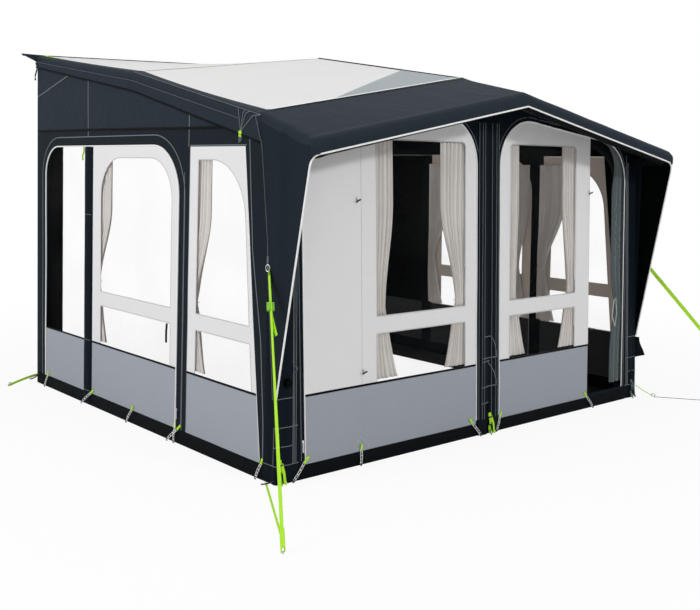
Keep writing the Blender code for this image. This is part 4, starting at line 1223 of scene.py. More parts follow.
def mud_foot(name, wall, height, spans):
    """The foot of the grey mud walls, sewn down over the base band."""
    feet = []
    top = BASE_BAND + 0.0014
    for first, last in spans:
        outline = [(first, height), (last, height), (last, top), (first, top)]
        feet.append(cloth_sheet("foot", [outline], wall, CLOTH / 2 + 0.0002, CLOTH / 2 + 0.0008, 0.06))
    strip = join(name, feet)
    finish_piece(strip, [MUD, MUD])


def window_hems(name, windows, wall, body):
    """The stitched edge round each window."""
    hems = [
        wall_trim("hem", rounded(window, 0.004), wall, CLOTH / 2 + SEAM_RISE, 0.005, 0.001, closed=True)
        for window in windows
    ]
    finish_piece(join(name, hems), [HEM], body)


def side_wall(label, wall):
    """A side wall's cloth with its panels, foils, mud walls, rear pane and bindings."""
    outer = [
        (CORNER_SIDE, 0, 0),
        (BASE_DEPTH, 0, 0),
        (BASE_DEPTH, EAVE_LINE[2][1] - EAVE_SLACK, 0),
        (EAVE_LINE[1][0], EAVE_LINE[1][1] - EAVE_SLACK, 0),
        (EAVE_LINE[0][0], EAVE_LINE[0][1] - EAVE_SLACK, 0),
        (CORNER_SIDE, hood_top(1, CORNER_SIDE) - EAVE_SLACK - 0.02, 0),
    ]
    holes = [rounded(REAR_OUTLINE), rounded(DOOR_OUTLINE), rounded(SIDE_FRONT_OUTLINE)]
    cloth = cloth_sheet(
        label + "_wall_cloth", [rounded(outer)] + holes, wall, -CLOTH / 2, CLOTH / 2,
        seams=(SIDE_ZIP_HEIGHT, SIDE_HEM),
    )
    finish_piece(cloth, [DARK, SHADED_INSIDE, FRAME, SHADED_INSIDE, BASE, SHADED_INSIDE], replaced=[label + "_wall_frame"])
    spans = [REAR_PANEL[:2], SIDE_DOOR[:2], (SIDE_FRONT_BASE_EDGE, SIDE_FRONT_REAR)]
    mud_foot(label + "_mud_foot", wall, SIDE_HEM, spans)

    windows = [
        side_window(WINDOW_FOOT, SIDE_BAR_LOW, 0),
        side_window(SIDE_BAR_HIGH, SIDE_WINDOW[2], SIDE_WINDOW[3]),
    ]
    door = label + "_door"
    panel_pieces(door, door + "_panel", wall, DOOR_OUTLINE, windows, door)
    opening = side_window(MUD_TOP, *SIDE_WINDOW[2:])
    foil(door + "_foil", door + "_pane", wall, opening, door)
    window_hems(door + "_hems", windows, wall, door)

    windows = [
        small_window(WINDOW_FOOT, SIDE_BAR_LOW, 0),
        small_window(SIDE_BAR_HIGH, SMALL_WINDOW_TOP, SMALL_WINDOW_ROUNDING),
    ]
    front = label + "_front"
    panel_pieces(front, front + "_panel", wall, SIDE_FRONT_OUTLINE, windows, "awning")
    opening = small_window(MUD_TOP, SMALL_WINDOW_TOP, SMALL_WINDOW_ROUNDING)
    foil(front + "_foil", front + "_pane", wall, opening, "awning")
    window_hems(front + "_hems", windows, wall, "awning")

    lower = rounded(below(REAR_OUTLINE, MUD_TOP), -PANEL_GAP)
    mud = cloth_sheet(label + "_rear_mud_cloth", [lower], wall, -CLOTH / 2, CLOTH / 2)
    finish_piece(mud, [MUD, MUD_INSIDE_SHADE], replaced=[label + "_rear_mud_wall"])
    upper = rounded(above(REAR_OUTLINE, MUD_TOP), -PANEL_GAP)
    pane = cloth_sheet(label + "_rear_window", [upper], wall, -CLOTH / 2, CLOTH / 2, 0.06)
    if label == "left":
        finish_piece(pane, [CLEAR, CLEAR], replaced=["left_rear_pane"])
    else:
        finish_piece(pane, [BLIND, BLIND], replaced=["right_rear_blind"])
    binding_tape(label + "_rear_binding", [(u, MUD_TOP) for u in REAR_PANEL[:2]], wall)


def arch_path(grow):
    """The line round the rear pane and the door, from the rear foot to the front foot."""
    outline = [
        (SIDE_DOOR[0], BASE_BAND, 0),
        (REAR_PANEL[1], BASE_BAND, 0),
        (REAR_PANEL[1], SIDE_HEAD_HEIGHT, REAR_PANEL[2]),
        (SIDE_DOOR[0], SIDE_HEAD_HEIGHT, SIDE_DOOR[2]),
    ]
    front_foot, rear_foot, *arch = rounded(outline, grow)
    return [(rear_foot[0], SIDE_HEM)] + arch + [(front_foot[0], SIDE_HEM)]


def side_trims(label, wall):
    """Piping and stitched lines on a side wall."""
    face = CLOTH / 2
    white = [
        wall_trim("arch_piping", arch_path(0.0), wall, face + 0.003, 0.0095),
        wall_trim("edge_piping", SIDE_FRONT_OUTLINE[::3], wall, face + 0.0012, 0.004),
    ]
    finish_piece(join(label + "_side_piping", white), [WHITE_TRIM], angle=70)
    grey = [wall_trim("arch_line", arch_path(0.062), wall, face + STITCH_RISE, 0.0060, 0.0016)]
    for points, width in (
        ([(0.945, BASE_BAND), (0.945, 1.60)], 0.004),
        ([(0.906, SIDE_FRONT_TOP), (0.906, 2.03)], 0.007),
        ([(2.172, SIDE_HEAD_HEIGHT + 0.065), (2.185, 2.27)], 0.007),
        ([(2.994, 2.115), (2.477, 2.241)], 0.006),
        ([(SIDE_FRONT_TOP_EDGE - 0.01, SIDE_FRONT_TOP + 0.007),
          (SIDE_FRONT_REAR, SIDE_FRONT_TOP + 0.007)], 0.006),
        ([(0.330, 1.86), (0.307, 1.813), (0.254, 1.205), (0.163, 0.742),
          (0.124, 0.30), (0.119, 0.105)], 0.0065),
        ([(SIDE_FRONT_REAR, BASE_BAND), (SIDE_FRONT_REAR, SIDE_FRONT_TOP)], 0.004),
    ):
        grey.append(wall_trim("line", points, wall, face + STITCH_RISE, width, 0.0014))
    finish_piece(join(label + "_side_stitching", grey), [GREY_TRIM])
    line = [(0.24, 1.846), (0.9, 1.850), (2.0, 1.862), (BASE_DEPTH - 0.01, 1.867)]
    gable_zip = wall_trim(label + "_gable_zip", line, wall, face + 0.001, 0.016, 0.003)
    finish_piece(gable_zip, [DARK_TRIM], angle=60)


def column_sleeve(label, wall):
    """The padded strip over the post between the rear pane and the door, with its tacks."""
    front, rear = SIDE_DOOR[1] + 0.010, REAR_PANEL[0] - 0.006

    def surface(across, height, stand_off=0.0):
        swell = math.sin(math.pi * across) ** 0.6
        ruck = noise.noise(Vector((across * 3, height * 5, 6))) * 0.0025
        pinch = sum(math.exp(-((height - tack) / 0.03) ** 2) for tack in COLUMN_TACKS)
        depth = (COLUMN_BULGE * (1 - 0.4 * pinch) + ruck) * swell
        return on_wall(wall, lerp(front, rear, across), height, CLOTH / 2 + 0.0004 + depth + stand_off)

    def place(across, along):
        return surface(across, lerp(0.012, SIDE_HEAD_HEIGHT - 0.006, along))

    sleeve = shaped_grid(label + "_column_cloth", 20, 120, place, CLOTH, outward(wall), 1.0)
    finish_piece(sleeve, [DEEP])
    tacks = []
    for height in COLUMN_TACKS:
        run = [surface(across, height, 0.0024) for across in spread(0.04, 0.96, 14)]
        tacks.append(swept("tack", run, 0.0035))
    finish_piece(join(label + "_column_tacks", tacks), [GREY_TRIM], angle=60)


def wall_toggles(label, wall):
    """Small tie loops on a side wall: a lime one at the door's head and a dark one low down."""
    loop = [(2.222, 1.755), (2.232, 1.72), (2.240, 1.69), (2.252, 1.662)]
    path = [on_wall(wall, u, v, 0.006 + 0.004 * math.sin(v * 90)) for u, v in loop]
    finish_piece(tape(label + "_door_head_tie", dense(path, 0.01), 0.010, 0.002), [LIME])
    loop = [(1.117, 0.70), (1.113, 0.66), (1.121, 0.62), (1.118, 0.585)]
    path = [on_wall(wall, u, v, 0.005 + 0.003 * math.sin(v * 70)) for u, v in loop]
    tie = tape(label + "_door_tie", dense(path, 0.01), 0.014, 0.003)
    finish_piece(tie, [FLAP], label + "_door")


def front_wall():
    """The front wall's cloth with its window panels, foils, hems and the closed door leaf."""
    reach = BASE_WIDTH / 2 - CORNER_FRONT
    outer = [(-reach, 0, 0), (reach, 0, 0)]
    for step in range(9):
        across = reach * (1 - step / 4)
        share = abs(across) / EAVE_REACH
        depth = FRONT_LEAN * hood_top(share, 0)
        outer.append((across, hood_top(share, depth) - 0.008, 0))
    outlines = [rounded(outer), rounded(bay(-1)), rounded(bay(1))]
    cloth = cloth_sheet("front_wall_cloth", outlines, FRONT, -CLOTH / 2, CLOTH / 2, seams=(FRONT_HEM,))
    mud_foot("front_mud_foot", FRONT, FRONT_HEM, [(-BAY_OUTER, -BAY_INNER), (BAY_INNER, DOOR_SEAM)])
    finish_piece(cloth, [DEEP, SHADED_INSIDE, BASE, SHADED_INSIDE], replaced=["front_wall_frame"])
    for label, side, outer in (("left", -1, FRONT_WINDOW_OUTER), ("right", 1, RIGHT_WINDOW_OUTER)):
        windows = [
            front_window(side, WINDOW_FOOT, FRONT_BAR_LOW, 0, outer),
            front_window(side, FRONT_BAR_HIGH, FRONT_WINDOW_TOP, FRONT_WINDOW_ROUNDING, outer),
        ]
        name = "front_" + label
        panel = bay(side, outer=DOOR_SEAM)
        panel_pieces(name, name + "_panel", FRONT, panel, windows, "awning")
        opening = front_window(side, MUD_TOP, FRONT_WINDOW_TOP, FRONT_WINDOW_ROUNDING)
        foil(name + "_foil", name + "_pane", FRONT, opening, "awning")
        window_hems(name + "_hems", windows, FRONT, "awning")
    door = "front_left_door"
    panel_pieces("front_left_leaf", door, FRONT, bay(-1, inner=DOOR_SEAM), [], door)


def bay_path(side, grow):
    """The line round a bay, from its outer foot over the arch to its inner foot."""
    arch = rounded(bay(1), grow)[2:]
    line = [(BAY_OUTER + grow, BASE_BAND)] + arch + [(BAY_INNER - grow, BASE_BAND)]
    return [(side * u, v) for u, v in line]


def front_trims():
    """White piping round both bays, and the stitched lines of the front wall and its panels."""
    face = CLOTH / 2
    white, grey, pale = [], [], []
    for side in (-1, 1):
        white.append(wall_trim("bay_piping", bay_path(side, 0.0), FRONT, face + 0.002, 0.0075))
        line = bay_path(side, 0.025)
        grey.append(wall_trim("bay_line", line, FRONT, face + STITCH_RISE, 0.004, 0.0012))
        seam = [(side * DOOR_SEAM, MUD_TOP), (side * DOOR_SEAM, bay_top(DOOR_SEAM))]
        pale.append(wall_trim("seam_line", seam, FRONT, face + SEAM_RISE, 0.003, 0.0008))
    patch = [(-1.117, 0.100), (-1.057, 0.160), (-0.995, 0.090)]
    pale.append(wall_trim("foot_line", patch, FRONT, face + 0.0010, 0.003, 0.001))
    seam = [(-DOOR_SEAM, FRONT_HEM), (-DOOR_SEAM, MUD_TOP)]
    finish_piece(wall_trim("mud_seam", seam, FRONT, face + SEAM_RISE, 0.004, 0.0008), [MUD])
    finish_piece(join("front_piping", white), [WHITE_TRIM], angle=70)
    finish_piece(join("front_stitching", grey), [GREY_TRIM])
    finish_piece(join("front_pale_stitching", pale), [HEM])


def front_toggles():
    """The toggles and loops that hold the rolled leaves back at each bay's seam."""
    for index, (u, v) in enumerate(((-1.077, 1.465), (-1.039, 0.52), (1.037, 1.491), (1.072, 0.553))):
        out = CLOTH / 2
        bpy.ops.object.select_all(action="DESELECT")
        bpy.ops.mesh.primitive_cylinder_add(vertices=12, radius=0.0045, depth=0.030, location=(0, 0, 0))
        bar = bpy.context.object
        edit_whole(bpy.ops.mesh.bevel, offset=0.0015, segments=2)
        bar.rotation_euler = (0.3, math.radians(65), 0)
        bar.location = on_wall(FRONT, u, v, out + 0.016)
        apply_place(bar)
        loop = [
            on_wall(FRONT, u - 0.004, v + 0.016, out), on_wall(FRONT, u, v, out + 0.014),
            on_wall(FRONT, u + 0.004, v - 0.016, out),
        ]
        cord = swept("loop", bend(*loop), 0.003)
        body = "front_left_door" if u < 0 else "awning"
        finish_piece(join("front_toggle_" + str(index), [bar, cord]), [PLASTIC], body, angle=60)


# Sleeves over the legs
def corner_point(side, across, height, stand_off=0.0):
    """A point on a corner sleeve, across it from its rear edge round to the front wall."""
    outer = side_reach(height) + CLOTH / 2
    front = FRONT_LEAN * height - CLOTH / 2
    side_run = CORNER_SIDE - CORNER_ROUNDING
    arc_run = CORNER_ROUNDING * math.pi / 2
    front_run = CORNER_FRONT - CORNER_ROUNDING
    travel = across * (side_run + arc_run + front_run)
    if travel <= side_run:
        spot = Vector((outer, CORNER_SIDE - travel, height))
        out = Vector((1, 0, 0))
    elif travel <= side_run + arc_run:
        angle = (travel - side_run) / CORNER_ROUNDING
        spot = Vector((
            outer - CORNER_ROUNDING * (1 - math.cos(angle)),
            front + CORNER_ROUNDING * (1 - math.sin(angle)),
            height,
        ))
        out = Vector((math.cos(angle), -math.sin(angle), 0))
    else:
        spot = Vector((outer - CORNER_ROUNDING - (travel - side_run - arc_run), front, height))
        out = Vector((0, -1, 0))
    fold = 0.0035 * math.sin(across * 2 * math.pi * 3 + 2 * noise.noise(Vector((0, 0, height * 2))))
    fold *= math.sin(math.pi * across)
    ruck = noise.noise(Vector((across * 3, height * 9, side * 4))) * 0.002 * math.sin(math.pi * across)
    spot += out * (fold + ruck + stand_off)
    return Vector((side * spot.x, spot.y, spot.z))


def corner_sleeves():
    """The sleeve round each front leg, with its upright and level rows of stitching."""
    for label, _, side in SIDES:

        def place(across, along, side=side):
            return corner_point(side, across, lerp(0.0005, SLEEVE_TOP, along))

        sleeve = shaped_grid(label + "_sleeve_cloth", 40, 110, place, CLOTH, (side, -1, 0))
        finish_piece(sleeve, [DEEP], replaced=[label + "_corner_sleeve"])

        lines = []
        for across, low, high, width in (
            (0.35, 0.10, 0.30, 0.0034), (0.845, 0.10, 1.70, 0.0050), (0.880, 0.10, 1.70, 0.0040),
            (0.925, 0.10, 1.75, 0.0045),
        ):
            run = [corner_point(side, across, height, THREAD_RISE) for height in spread(low, high, 70)]
            lines.append(swept("line", run, width))
        for height, first, last in (
            (0.45, 0.35, 0.86), (0.298, 0.35, 0.97), (0.197, 0.35, 0.84), (0.098, 0.02, 0.99),
        ):
            run = [
                corner_point(side, across, height, THREAD_RISE) for across in spread(first, last, 24)
            ]
            lines.append(swept("stitch", run, 0.0045))
        finish_piece(join(label + "_sleeve_stitching", lines), [GREY_TRIM], angle=60)


def centre_point(u, height, stand_off=0.0):
    """A point on the centre sleeve's two soft ridges."""
    across = u / CENTRE_SLEEVE_WIDTH + 0.5
    ridge = abs(math.sin(2 * math.pi * across))
    ruck = noise.noise(Vector((across * 4, height * 7, 4))) * 0.0022
    return on_wall(FRONT, u, height, 0.005 + (CENTRE_SLEEVE_BULGE + ruck) * ridge + stand_off)


def centre_sleeve():
    """The sleeve over the middle leg, with its rows of stitching."""

    def place(across, along):
        u = lerp(-CENTRE_SLEEVE_WIDTH / 2, CENTRE_SLEEVE_WIDTH / 2, across)
        return centre_point(u, lerp(0.0005, CENTRE_SLEEVE_TOP, along))

    sleeve = shaped_grid("centre_sleeve_cloth", 48, 110, place, CLOTH, (0, -1, 0))
    finish_piece(sleeve, [DEEP], replaced=["centre_sleeve"])
    upright = (-0.089, -0.066, -0.047, 0.022, 0.058, 0.089)
    runs = [[(u, 0.10), (u, CENTRE_SLEEVE_TOP - 0.01)] for u in upright]
    runs += [
        [(-0.05, 0.614), (0.02, 0.614)],
        [(0.022, 0.61), (0.05, 0.56), (0.070, 0.485)],
        [(-0.060, 0.479), (0.070, 0.481)],
        [(-0.062, 0.458), (0.006, 0.462)],
        [(-0.005, 0.455), (0.04, 0.39), (0.068, 0.312)],
        [(-0.070, 0.298), (0.068, 0.304)],
        [(-0.072, 0.198), (0.000, 0.200)],
    ]
    rails = []
    for run in runs:
        line = dense([(*place, 0) for place in run], 0.02)
        path = [centre_point(point.x, point.y, 0.0012) for point in line]
        rails.append(swept("line", path, 0.0036 if len(run) == 2 and run[0][0] == run[1][0] else 0.0055))
    finish_piece(join("centre_sleeve_stitching", rails), [GREY_TRIM], angle=60)


# Air frame
def bend(first, corner, last, steps=12):
    points = []
    for step in range(steps + 1):
        share = step / steps
        start = Vector(first).lerp(Vector(corner), share)
        end = Vector(corner).lerp(Vector(last), share)
        points.append(start.lerp(end, share))
    return points


def sleeved_tube(name, path, radius, node):
    tube = swept(name, dense(path, 0.02), radius * 2, resolution=8)
    for vert in tube.data.vertices:
        ruck = noise.noise(vert.co * 9.0) * 0.0014
        vert.co += vert.normal * ruck
    finish_piece(tube, [SLEEVE], replaced=[node], angle=60)


def air_poles():
    """Each pole's sleeve: up its leg, over its bend and back along the roof."""

    def pole(name, reach, share, node):
        def run(depth):
            return roof_height(share, depth) - POLE_DROP

        foot = FRONT_LEAN * 0.03 + POLE_INSET
        path = [Vector((reach(0), foot, 0)), Vector((reach(0.03), foot, 0.03))]
        start = POLE_INSET + POLE_BEND
        corner_y = FRONT_LEAN * run(POLE_INSET) + POLE_INSET
        top = run(corner_y) - POLE_BEND
        leg = Vector((reach(top), FRONT_LEAN * top + POLE_INSET, top))
        corner = Vector((reach(run(corner_y)), corner_y, run(corner_y)))
        path.extend(bend(leg, corner, Vector((reach(run(start)), start, run(start)))))
        for depth in spread(start, BASE_DEPTH - 0.075, 12)[1:]:
            path.append(Vector((reach(run(depth)), depth, run(depth))))
        sleeved_tube(name, path, POLE_RADIUS, node)

    for label, _, side in SIDES:
        pole(
            label + "_pole_sleeve",
            lambda height, side=side: side * (side_reach(height) - POLE_INSET),
            1, label + "_air_pole",
        )
    pole("centre_pole_sleeve", lambda height: 0.0, 0, "centre_air_pole")


def brow_beam():
    """The beam inside the hood's brow, with its ends turned back to the corner poles."""
    drop = BROW_ROUNDING
    end_reach = side_reach(BROW_EDGE_HEIGHT) - BEAM_FOOT - 0.008
    half = []
    for share in (0, 0.25, 0.5, 0.75):
        half.append(Vector((share * EAVE_REACH, BROW_DEPTH, brow_height(share) - drop)))
    turn_share = (end_reach - BEAM_TURN) / EAVE_REACH
    end_height = brow_height(1) - drop
    first = Vector((end_reach - BEAM_TURN, BROW_DEPTH, brow_height(turn_share) - drop))
    corner = Vector((end_reach, BROW_DEPTH, end_height))
    after = Vector((end_reach, BROW_DEPTH + BEAM_TURN, end_height))
    half.extend(bend(first, corner, after))
    half.append(Vector((end_reach, FRONT_LEAN * (end_height - BEAM_FOOT) - 0.003, end_height)))
    path = [Vector((-point.x, point.y, point.z)) for point in reversed(half[1:])] + half
    sleeved_tube("brow_beam_sleeve", path, BEAM_RADIUS, "brow_air_beam")


# Curtains
def curtain(name, node, wall, edge, direction, top, top_width, body, seed, folds=5):
    """A gathered curtain: header pleats, drawn in at its tie and let out at the hem."""
    tie_share = (CURTAIN_TIE_HEIGHT - CURTAIN_HEM) / (top - CURTAIN_HEM)

    def width(along):
        if along < tie_share:
            return lerp(CURTAIN_HEM_WIDTH, CURTAIN_TIE_WIDTH, (along / tie_share) ** 0.8)
        return lerp(CURTAIN_TIE_WIDTH, top_width, ease((along - tie_share) / (1 - tie_share) / 0.62))

    def place(across, along):
        u = edge + direction * (CURTAIN_EDGE + width(along) * across)
        v = lerp(CURTAIN_HEM, top, along)
        wander = 0.35 * noise.noise(Vector((along * 2.2, seed, 0.5)))
        uneven = 0.12 * noise.noise(Vector((across * 3.1, seed, along)))
        phase = 2 * math.pi * folds * (across + uneven * math.sin(math.pi * across)) + wander
        depth = CURTAIN_FOLD * (0.75 + 0.25 * noise.noise(Vector((across * 5, along * 3, seed))))
        pinch = 1 - 0.35 * math.exp(-((along - tie_share) / 0.04) ** 2)
        wave = 2 * depth * pinch * (1 - abs(math.cos(phase / 2)))
        pleat = 0.0015 * math.cos(phase * 3) * math.exp(-(1 - along) * 14)
        sway = 0.006 * noise.noise(Vector((along * 3, seed, 4))) * (1 - abs(2 * across - 1))
        depth = billow(wall, u, v) * 0.5 - CURTAIN_SET_BACK - 0.003 - wave - pleat
        return on_wall(wall, u + direction * sway, v, depth)

    cloth = shaped_grid(name, folds * 16, 90, place, 0.0012, outward(wall), 0.0)
    finish_piece(cloth, [CURTAIN], body, [node] if node else [], angle=80)

    tie = []
    width_here = width(tie_share)
    for step in range(16):
        angle = 2 * math.pi * step / 16
        swing = (width_here / 2 + 0.004) * math.cos(angle)
        u = edge + direction * (CURTAIN_EDGE + width_here / 2 + swing)
        n = -CURTAIN_SET_BACK - 0.018 + 0.013 * math.sin(angle)
        tie.append(on_wall(wall, u, CURTAIN_TIE_HEIGHT, n))
    band = swept(name + "_tie", tie, 0.004, 0.0016, closed=True)
    finish_piece(band, [CURTAIN], body)


def curtains():
    """Two curtains for each front window, one for each side window and one behind the right door."""
    for label, side, outer, inner_width in (
        ("left", -1, FRONT_WINDOW_OUTER, CURTAIN_WIDE), ("right", 1, RIGHT_WINDOW_OUTER, CURTAIN_SLIM)
    ):
        for kind, edge, direction, width in (
            ("outer", side * outer, -side, CURTAIN_NARROW),
            ("inner", side * FRONT_WINDOW_INNER, side, inner_width),
        ):
            node = "front_" + label + "_" + kind + "_curtain"
            curtain(node + "_cloth", node, FRONT, edge, direction, CURTAIN_TOP, width, node,
                    folds=6 if width > 0.2 else 5, seed=edge * 3)
    for label, wall, side in SIDES:
        for kind, rear in (("door", SIDE_WINDOW[1]), ("front", SMALL_WINDOW_REAR)):
            node = label + "_" + kind + "_curtain"
            wider = (0.03 if kind == "door" else 0.0) + (0.03 if side > 0 else 0.0)
            top = SMALL_WINDOW_TOP + CURTAIN_RISE
            curtain(node + "_cloth", node, wall, rear + CURTAIN_LAP + wider, -1, top,
                    CURTAIN_WIDE + wider, node, folds=6, seed=rear * 5 + side)
    curtain("right_door_near_curtain", None, RIGHT, 1.175, -1, SMALL_WINDOW_TOP + CURTAIN_RISE,
            0.165, "right_door", seed=2.5)


def curtain_rods():
    """The slim dark track that each pair of curtains hangs from."""
    back = -CURTAIN_SET_BACK - 0.006
    for label, side in (("left", -1), ("right", 1)):
        ends = (FRONT_WINDOW_INNER - 0.02, FRONT_WINDOW_OUTER + 0.02)
        track = [(side * end, FRONT_WINDOW_TOP) for end in ends]
        rod = wall_trim("front_" + label + "_rod", track, FRONT, back, 0.007)
        finish_piece(rod, [PLASTIC], angle=60)


def mesh_door():
    """The insect net, gathered down the open side of its doorway and round under the arch."""
    edge = [Vector((u, v, 0)) for u, v in bay_path(1, MESH_EDGE)]
    arch = dense([spot for spot in edge if spot.x > DOOR_SEAM + 0.02], 0.02)
    foot = next(index for index, spot in enumerate(arch) if spot.y > MESH_HEM)
    arch = arch[foot:]
    middle = Vector((BAY_OUTER - BAY_ROUNDING, BAY_OUTER_TOP - BAY_ROUNDING, 0))
    count = len(arch)

    def place(across, along):
        spot = arch[round(along * (count - 1))]
        inward = Vector((-1, 0, 0)) if spot.y < middle.y else (middle - spot).normalized()
        taper = ease(clamp((1 - along) / 0.30))
        width = lerp(0.035, MESH_WIDTH, taper) * (1 - 0.35 * math.exp(-((spot.y - 0.66) / 0.16) ** 2))
        phase = 2 * math.pi * 3 * across + 0.8 * noise.noise(Vector((0, along * 2, 3)))
        wave = MESH_FOLD * lerp(0.3, 1, taper) * (1 - math.cos(phase))
        here = spot + inward * width * across
        return on_wall(FRONT, here.x, here.y, -0.006 - wave)

    net = shaped_grid("mesh_door_net", 54, count - 1, place, 0.0006, (0, -1, 0), 0.0)
    finish_piece(net, [NET], "awning", ["mesh_door"], angle=80)
    length = sum((last - first).length for first, last in zip(arch, arch[1:]))
    hem = [on_wall(FRONT, spot.x - 0.004, spot.y, -0.005) for spot in arch]
    finish_piece(tape("mesh_door_zip_tape", hem, 0.014, 0.003), [DARK_TRIM])
    loop = [(1.352, 0.74), (1.330, 0.62), (1.368, 0.545), (1.385, 0.64), (1.372, 0.75)]
    path = [on_wall(FRONT, u, v, 0.002) for u, v in loop]
    finish_piece(tape("mesh_door_loop", dense(path, 0.012), 0.006, 0.0015), [WHITE_TRIM])


# Pads, flaps and bead at the rear
def rear_parts():
    """The padded uprights that seal on the caravan and the flaps on the ground, side by side."""
    for label, _, side in SIDES:
        low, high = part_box(label + "_seal_pad")
        size = [high[axis] - low[axis] for axis in range(3)]
        lean = SIDE_LEAN * size[2]
        bpy.ops.mesh.primitive_cube_add(size=1, location=(0, 0, size[2] / 2))
        pad = bpy.context.object
        pad.name = label + "_pad_cloth"
        pad.scale = (size[0] - lean - 0.002, size[1] - 0.002, size[2] - 0.002)
        apply_place(pad)
        edit_whole(bpy.ops.mesh.bevel, offset=0.014, segments=3)
        dense_pad = pad.modifiers.new("dense", "REMESH")
        dense_pad.mode = "VOXEL"
        dense_pad.voxel_size = 0.012
        apply_modifiers(pad)
        half = (size[0] - lean) / 2
        base = low[0] + size[0] - half if side > 0 else low[0] + half
        for vert in pad.data.vertices:
            swell = 0.5 + 0.5 * math.cos(vert.co.z * 2 * math.pi / 0.28)
            vert.co.y *= 0.94 + 0.06 * (1 - swell ** 6)
            vert.co += vert.normal * noise.noise(vert.co * 12) * 0.001
            vert.co.x += base - side * SIDE_LEAN * vert.co.z
            vert.co.y += (low[1] + high[1]) / 2
        finish_piece(pad, [PAD], replaced=[label + "_seal_pad"], angle=60)

        low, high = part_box(label + "_ground_flap")

        def place(across, along, low=low, high=high):
            x = lerp(low[0] + 0.001, high[0] - 0.001, across)
            y = lerp(low[1], high[1], along)
            ripple = max(0, noise.noise(Vector((x * 7, y * 4, 3)))) * 0.006
            return Vector((x, y, 0.0022 + ripple * math.sin(math.pi * across)))

        flap = shaped_grid(label + "_flap_cloth", 24, 110, place, 0.0012, (0, 0, 1))
        finish_piece(flap, [FLAP], replaced=[label + "_ground_flap"])


def rail_bead():
    """The covered cord along the roof's rear edge, which runs in the caravan's rail."""
    path = []
    reach = EAVE_REACH + 0.105
    for across in spread(-reach, reach, 48):
        height = roof_height(abs(across) / EAVE_REACH, BASE_DEPTH) - 0.002
        path.append(Vector((across, BASE_DEPTH + 0.0038, height)))
    bead = swept("rail_bead_cord", path, 0.0068)
    finish_piece(bead, [BEAD], replaced=["rail_bead"], angle=70)


# Straps
def flat_strap(name, points, width, thickness, finish, turn=None, replaced=()):
    """A webbing strap along points, turned about its run where asked."""
    path = dense(points, 0.02)

    def place(share_across, share_along):
        index = round(share_along * (len(path) - 1))
        ahead = path[min(index + 1, len(path) - 1)] - path[max(index - 1, 0)]
        along = ahead.normalized()
        across = along.cross(Vector((0, 0, 1))).normalized()
        angle = math.radians(turn(share_along)) if turn else 0
        side = across * math.cos(angle) + along.cross(across) * math.sin(angle)
        return path[index] + side * (share_across - 0.5) * width

    first = path[1] - path[0]
    through = first.cross(first.cross(Vector((0, 0, 1))))
    strap = shaped_grid(name, 4, len(path) - 1, place, thickness, through, 0.0)
    finish_piece(strap, [finish], replaced=replaced)


def ring(name, centre, radius, wire, normal, finish):
    """A wire ring, such as a strap's eye or a peg's loop."""
    bpy.ops.object.select_all(action="DESELECT")
    bpy.ops.mesh.primitive_torus_add(
        major_radius=radius, minor_radius=wire, major_segments=24, minor_segments=8, location=(0, 0, 0)
    )
    eye = bpy.context.object
    eye.name = name
    edit_whole(bpy.ops.transform.resize, value=(1.0, 1.35, 1.0))
    eye.rotation_mode = "QUATERNION"
    eye.rotation_quaternion = Vector(normal).to_track_quat("Z", "Y")
    eye.location = centre
    apply_place(eye)
    finish_piece(eye, [finish], angle=60)


def peg(name, place, lean):
    """A steel ground peg with its head bent over the strap."""
    place, lean = Vector(place), Vector(lean).normalized()
    head = [
        place + Vector((0, 0, -0.0005)) + lean * 0.004,
        place + lean * 0.010 + Vector((0, 0, 0.016)),
        place + lean * 0.002 + Vector((0, 0, 0.026)),
        place - lean * 0.014 + Vector((0, 0, 0.024)),
        place - lean * 0.020 + Vector((0, 0, 0.012)),
    ]
    finish_piece(swept(name, dense(head, 0.004), 0.0065, resolution=4), [STEEL], angle=60)


